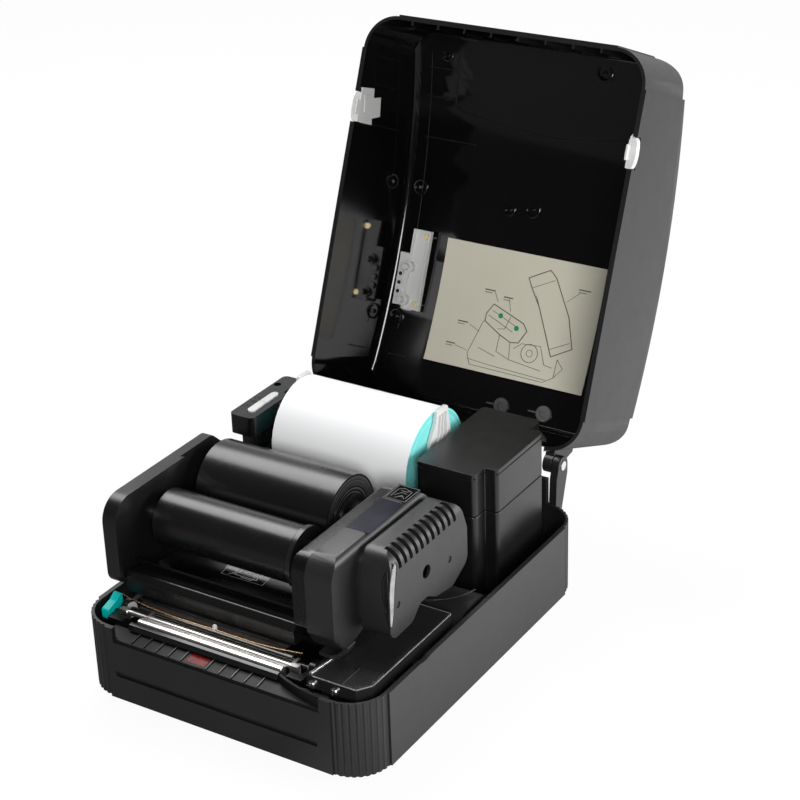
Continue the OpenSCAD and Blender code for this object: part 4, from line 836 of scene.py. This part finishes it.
def add_hump_details():
    """A curved seam on the low hump behind the deck."""
    bm = bmesh.new()
    turns = [math.radians(a) for a in range(0, 84, 6)]
    line(bm, [(64 + 40 * math.sin(a), -20 + 40 * (1 - math.cos(a))) for a in turns],
         0.8, (-0.2, 0.6), on_top(HUMP_TOP))
    piece("hump_seams", bm, "deck_satin", "base", 0.2)


# ---------------------------------------------------------------- carriage

GEAR_SIDE = on_right(96)        # right face of the gear cover
GEAR_FRONT = on_front(-82.5)    # and its front
COVER_INK = (0.1, 0.2)          # heights of the lines on a sticker of the middle cover
GUIDE_INK = (0.1, 0.25)         # and of the one in the film guide's trough

FLARE = [(58, 65.5), (62, 64.6), (67, 65.0), (72, 67.4), (76, 71.2), (78.6, 75.4),
         (80.6, 74.6), (78.4, 69.4), (74, 65), (68.5, 62.4), (62, 62.0), (58, 62.6)]
LEAF = [(-82.2, 80), (-82.2, 92), (-82.0, 104), (-80.6, 113), (-77.8, 120), (-74.4, 124),
        (-73.0, 121), (-74.4, 113), (-76.0, 105), (-77.0, 97), (-78.2, 88), (-80.2, 80.5)]
SCOOP = [(95.4, 82), (93.6, 90), (91.6, 100), (91.2, 108), (92.4, 116), (95.2, 121)]
GUIDE_LINES = [[(-44, 8), (-42, 24), (-28, 24), (-26, 8), (-44, 8)],
               [(-46, 12), (-40, 12), (-40, 20), (-30, 20), (-30, 12), (-24, 12)],
               [(-41, 15), (-31, 15)], [(-48, 6), (-44, 10)], [(-30, 5), (-28, 10)],
               [(-48, 18), (-46, 25), (-42, 27)], [(-38, 6), (-30, 6)]]
COVER_LINES = [[(54.5, -13), (54.5, -3), (58, -0.5), (65, -3), (65, -12)],
               [(56, -11), (59, -6), (63.5, -7)], [(57, -3.5), (61, -4.5), (63, -2.8)],
               [(58, -14), (61, -9.5), (64.6, -13)], [(60, -11.5), (62.5, -10.5)]]


def add_cover_moulding():
    """The flare under the middle cover, and the leaf and scoop of the gear cover. The leaf is
    painted light grey for the bright reflection in its recess.
    """
    bm = bmesh.new()
    slab(bm, FLARE, (-9, 0.4), on_front(-108))
    piece("middle_flare", bm, "housing_black", "carriage", 0.35)
    bm = bmesh.new()
    slab(bm, LEAF, (-0.5, 0.25), GEAR_SIDE)
    # the leaf's grey is a painted reflection
    piece("gear_leaf", bm, "leaf_painted_reflection", "carriage", 0.25)
    bm = bmesh.new()
    line(bm, LEAF[5:] + LEAF[:1], 1.0, (-0.4, 0.7), GEAR_SIDE)
    piece("gear_leaf_rim", bm, "housing_black", "carriage", 0.3)
    bm = bmesh.new()
    line(bm, SCOOP, 1.2, (-0.4, 0.5), GEAR_FRONT)
    slab(bm, SCOOP, (-0.4, 0.12), GEAR_FRONT)
    piece("gear_scoop", bm, "sticker_black", "carriage", 0.2)


def add_guide_sticker():
    """A dark sticker with a generic drawing, bent into the film guide's trough."""
    bm = bmesh.new()
    line(bm, [(-36, v) for v in range(2, 33, 3)], 36, (-0.1, 0.12), in_trough)
    piece("guide_sticker", bm, "sticker_black", "carriage")
    bm = bmesh.new()
    line(bm, dense([(-53, 3), (-53, 31), (-19, 31), (-19, 3)], True), 0.3, (0.1, 0.22),
         in_trough, True)
    for p in GUIDE_LINES:
        line(bm, dense(p), 0.7, GUIDE_INK, in_trough)
    piece("guide_drawing", bm, "print_white", "carriage")


def add_cover_sticker():
    """A small sticker on the middle cover, and a dark blue band on its top that paints the
    bluish reflection of the light above.
    """
    top = on_top(MIDDLE_TOP)
    bm = bmesh.new()
    slab(bm, box(51.5, -17, 68, 3), (-0.2, 0.12), top)
    piece("cover_sticker", bm, "sticker_black", "carriage")
    bm = bmesh.new()
    line(bm, box(52.2, -16.3, 67.3, 2.3), 0.3, (0.1, 0.18), top, True)
    for p in COVER_LINES:
        line(bm, p, 0.3, COVER_INK, top)
    piece("cover_drawing", bm, "print_mid", "carriage")
    # a dark blue band that paints the top's bluish reflection
    bm = bmesh.new()
    slab(bm, box(50.8, -62, 68.6, -18.6), (-0.2, 0.1), top)
    piece("cover_reflection_band", bm, "band_painted_blue_reflection", "carriage")


def add_hubs():
    """Stepped metal hub at the left end of the rewind spindle."""
    bm = bmesh.new()
    lathe(bm, [(0, 0.9), (4.2, 0.9), (5.0, 0.5), (9.2, 0.5), (9.8, 0.1), (9.8, -0.7),
               (0, -0.7)], (-93.2, *REWIND_AXIS), (-1, 0, 0))
    piece("rewind_hub", bm, "screw_steel", "rewind")


# ---------------------------------------------------------------- keys outside the cover

KEY_X = (-96.2, -90.8)      # centres of a key face's rounded corners
KEY_REACH = 5.7             # and how far they are before and behind its middle
KEY_CORNER = 1.6            # their radius
KEY_RISE = 0.6              # height of a key above the roof
KEY_STEP = 7                # mm along Y over which the roof's slope is taken


def add_key_face(name, y, body):
    """Soft grey face of a key, tilted as the roof is where the key stands."""
    z = roof_z(y, ROOF_OUT) + KEY_RISE
    tilt = (roof_z(y + KEY_STEP, ROOF_OUT) + KEY_RISE - z) / KEY_STEP

    def at(u, v, w):
        return Vector((u, v, z + (v - y) * tilt + w)) * MM

    left, right = KEY_X
    rear, front = y + KEY_REACH, y - KEY_REACH
    outline = []
    for cx, cy, start in ((right, rear, 0), (left, rear, 90), (left, front, 180),
                          (right, front, 270)):
        turns = [math.radians(start + k * 18) for k in range(6)]
        outline += [(cx + KEY_CORNER * math.cos(a), cy + KEY_CORNER * math.sin(a))
                    for a in turns]
    bm = bmesh.new()
    slab(bm, outline, (-0.6, 0.35), at)
    piece(name, bm, "key_grey", body, 0.25, OPENED)


add_label_drawing()
add_cover_seams()
add_cover_bosses()
add_cover_discs()
add_cover_ribs()
add_latches()
add_key_guide()
add_print_zone()
add_deck_details()
add_cover_moulding()
add_guide_sticker()
add_cover_sticker()
add_hubs()
add_hump_details()
add_edge_lines()
add_key_face("pause_face", 68, "pause_plunger")
add_key_face("feed_face", 42, "feed_plunger")


# ---------------------------------------------------------------- stage and light

FLOOR_SIZE = 24         # metres
FLOOR_GLOW = 0.94       # share of the floor's own white in what the camera sees
FLOOR_EAST = 1.25       # brightness of the floor in reflections, to the right and behind
FLOOR_FRONT = 0.20      # and everywhere else
WORLD_FLOOR = 0.07      # light from the studio's dimmest side
WORLD_TINT = (0.97, 0.98, 1.0, 1)
# Name, place, point aimed at, width and height in metres, power in watts
LIGHTS = (("key_top", (-0.8, 0.55, 1.6), (0, 0, 0.1), 1.4, 1.0, 33),
          ("front_fill", (1.35, -1.75, 1.1), (0, 0, 0.14), 0.8, 0.8, 44),
          ("right_bank", (1.6, 0.7, 0.5), (0, 0, 0.12), 1.1, 0.8, 30))


def floor_material():
    """Pale floor: white to the camera with the shadow kept, a lit studio to gloss."""
    m = bpy.data.materials.new("floor_white")
    m.use_nodes = True
    nt = m.node_tree
    nt.nodes.clear()
    out = nt.nodes.new("ShaderNodeOutputMaterial")
    path = nt.nodes.new("ShaderNodeLightPath")
    vec = coords(nt)
    pale = nt.nodes.new("ShaderNodeBsdfDiffuse")
    nt.links.new(mix_colour(nt, noise(nt, vec, 3), *greys(0.86, 0.84)), pale.inputs["Color"])
    glow = nt.nodes.new("ShaderNodeEmission")
    glow.inputs["Color"].default_value = (1, 1, 1, 1)
    glow.inputs["Strength"].default_value = 1.0
    seen = mix_shader(nt, FLOOR_GLOW, pale.outputs[0], glow.outputs[0])
    x, y = split(nt, vec, "X"), split(nt, vec, "Y")
    level = scalar(nt, "MULTIPLY", ramp(nt, x, 0.0, 1.0, 0.04, 0.19),
                   ramp(nt, y, 0.35, 1.0, -0.9, 0.1))
    level = scalar(nt, "MULTIPLY", level, ramp(nt, x, 1.0, 0.55, 0.25, 0.6))
    level = scalar(nt, "MULTIPLY", level, FLOOR_EAST - FLOOR_FRONT)
    level = scalar(nt, "ADD", level, FLOOR_FRONT)
    shine = nt.nodes.new("ShaderNodeEmission")
    nt.links.new(level, shine.inputs["Strength"])
    mirrored = scalar(nt, "MAXIMUM", path.outputs["Is Glossy Ray"],
                      path.outputs["Is Transmission Ray"])
    unseen = mix_shader(nt, mirrored, pale.outputs[0], shine.outputs[0])
    nt.links.new(mix_shader(nt, path.outputs["Is Camera Ray"], unseen, seen),
                 out.inputs["Surface"])
    return m


def add_floor():
    half = FLOOR_SIZE / 2
    me = bpy.data.meshes.new("floor")
    me.from_pydata([(-half, -half, 0), (half, -half, 0), (half, half, 0), (-half, half, 0)],
                   [], [(0, 1, 2, 3)])
    me.materials.append(floor_material())
    floor = add_object("floor", me)


def world_light():
    """White backdrop behind the printer, a dim studio in front, white to the camera."""
    w = bpy.data.worlds.new("world")
    bpy.context.scene.world = w
    w.use_nodes = True
    nt = w.node_tree
    nt.nodes.clear()
    out = nt.nodes.new("ShaderNodeOutputWorld")
    path = nt.nodes.new("ShaderNodeLightPath")
    vec = texture_coordinates(nt, "Generated")
    back = ramp(nt, split(nt, vec, "Y"), 0.0, 1.0, -0.15, 0.55)
    low = ramp(nt, split(nt, vec, "Z"), 1.0, 0.12, 0.12, 0.62)
    seen = nt.nodes.new("ShaderNodeBackground")
    seen.inputs[0].default_value = (1, 1, 1, 1)
    lit = nt.nodes.new("ShaderNodeBackground")
    lit.inputs[0].default_value = WORLD_TINT
    nt.links.new(scalar(nt, "MULTIPLY_ADD", back, low, WORLD_FLOOR), lit.inputs[1])
    nt.links.new(mix_shader(nt, path.outputs["Is Camera Ray"], lit.outputs[0],
                            seen.outputs[0]), out.inputs["Surface"])


def area(name, place, target, width, height, power):
    light = bpy.data.lights.new(name, "AREA")
    light.energy = power
    light.shape = "RECTANGLE"
    light.size = width
    light.size_y = height
    o = add_object(name, light)
    o.location = place
    away = Vector(target) - Vector(place)
    o.rotation_euler = away.to_track_quat("-Z", "Y").to_euler()


bpy.context.scene.view_settings.view_transform = "Standard"
set_camera()
add_floor()
world_light()
for spec in LIGHTS:
    area(*spec)
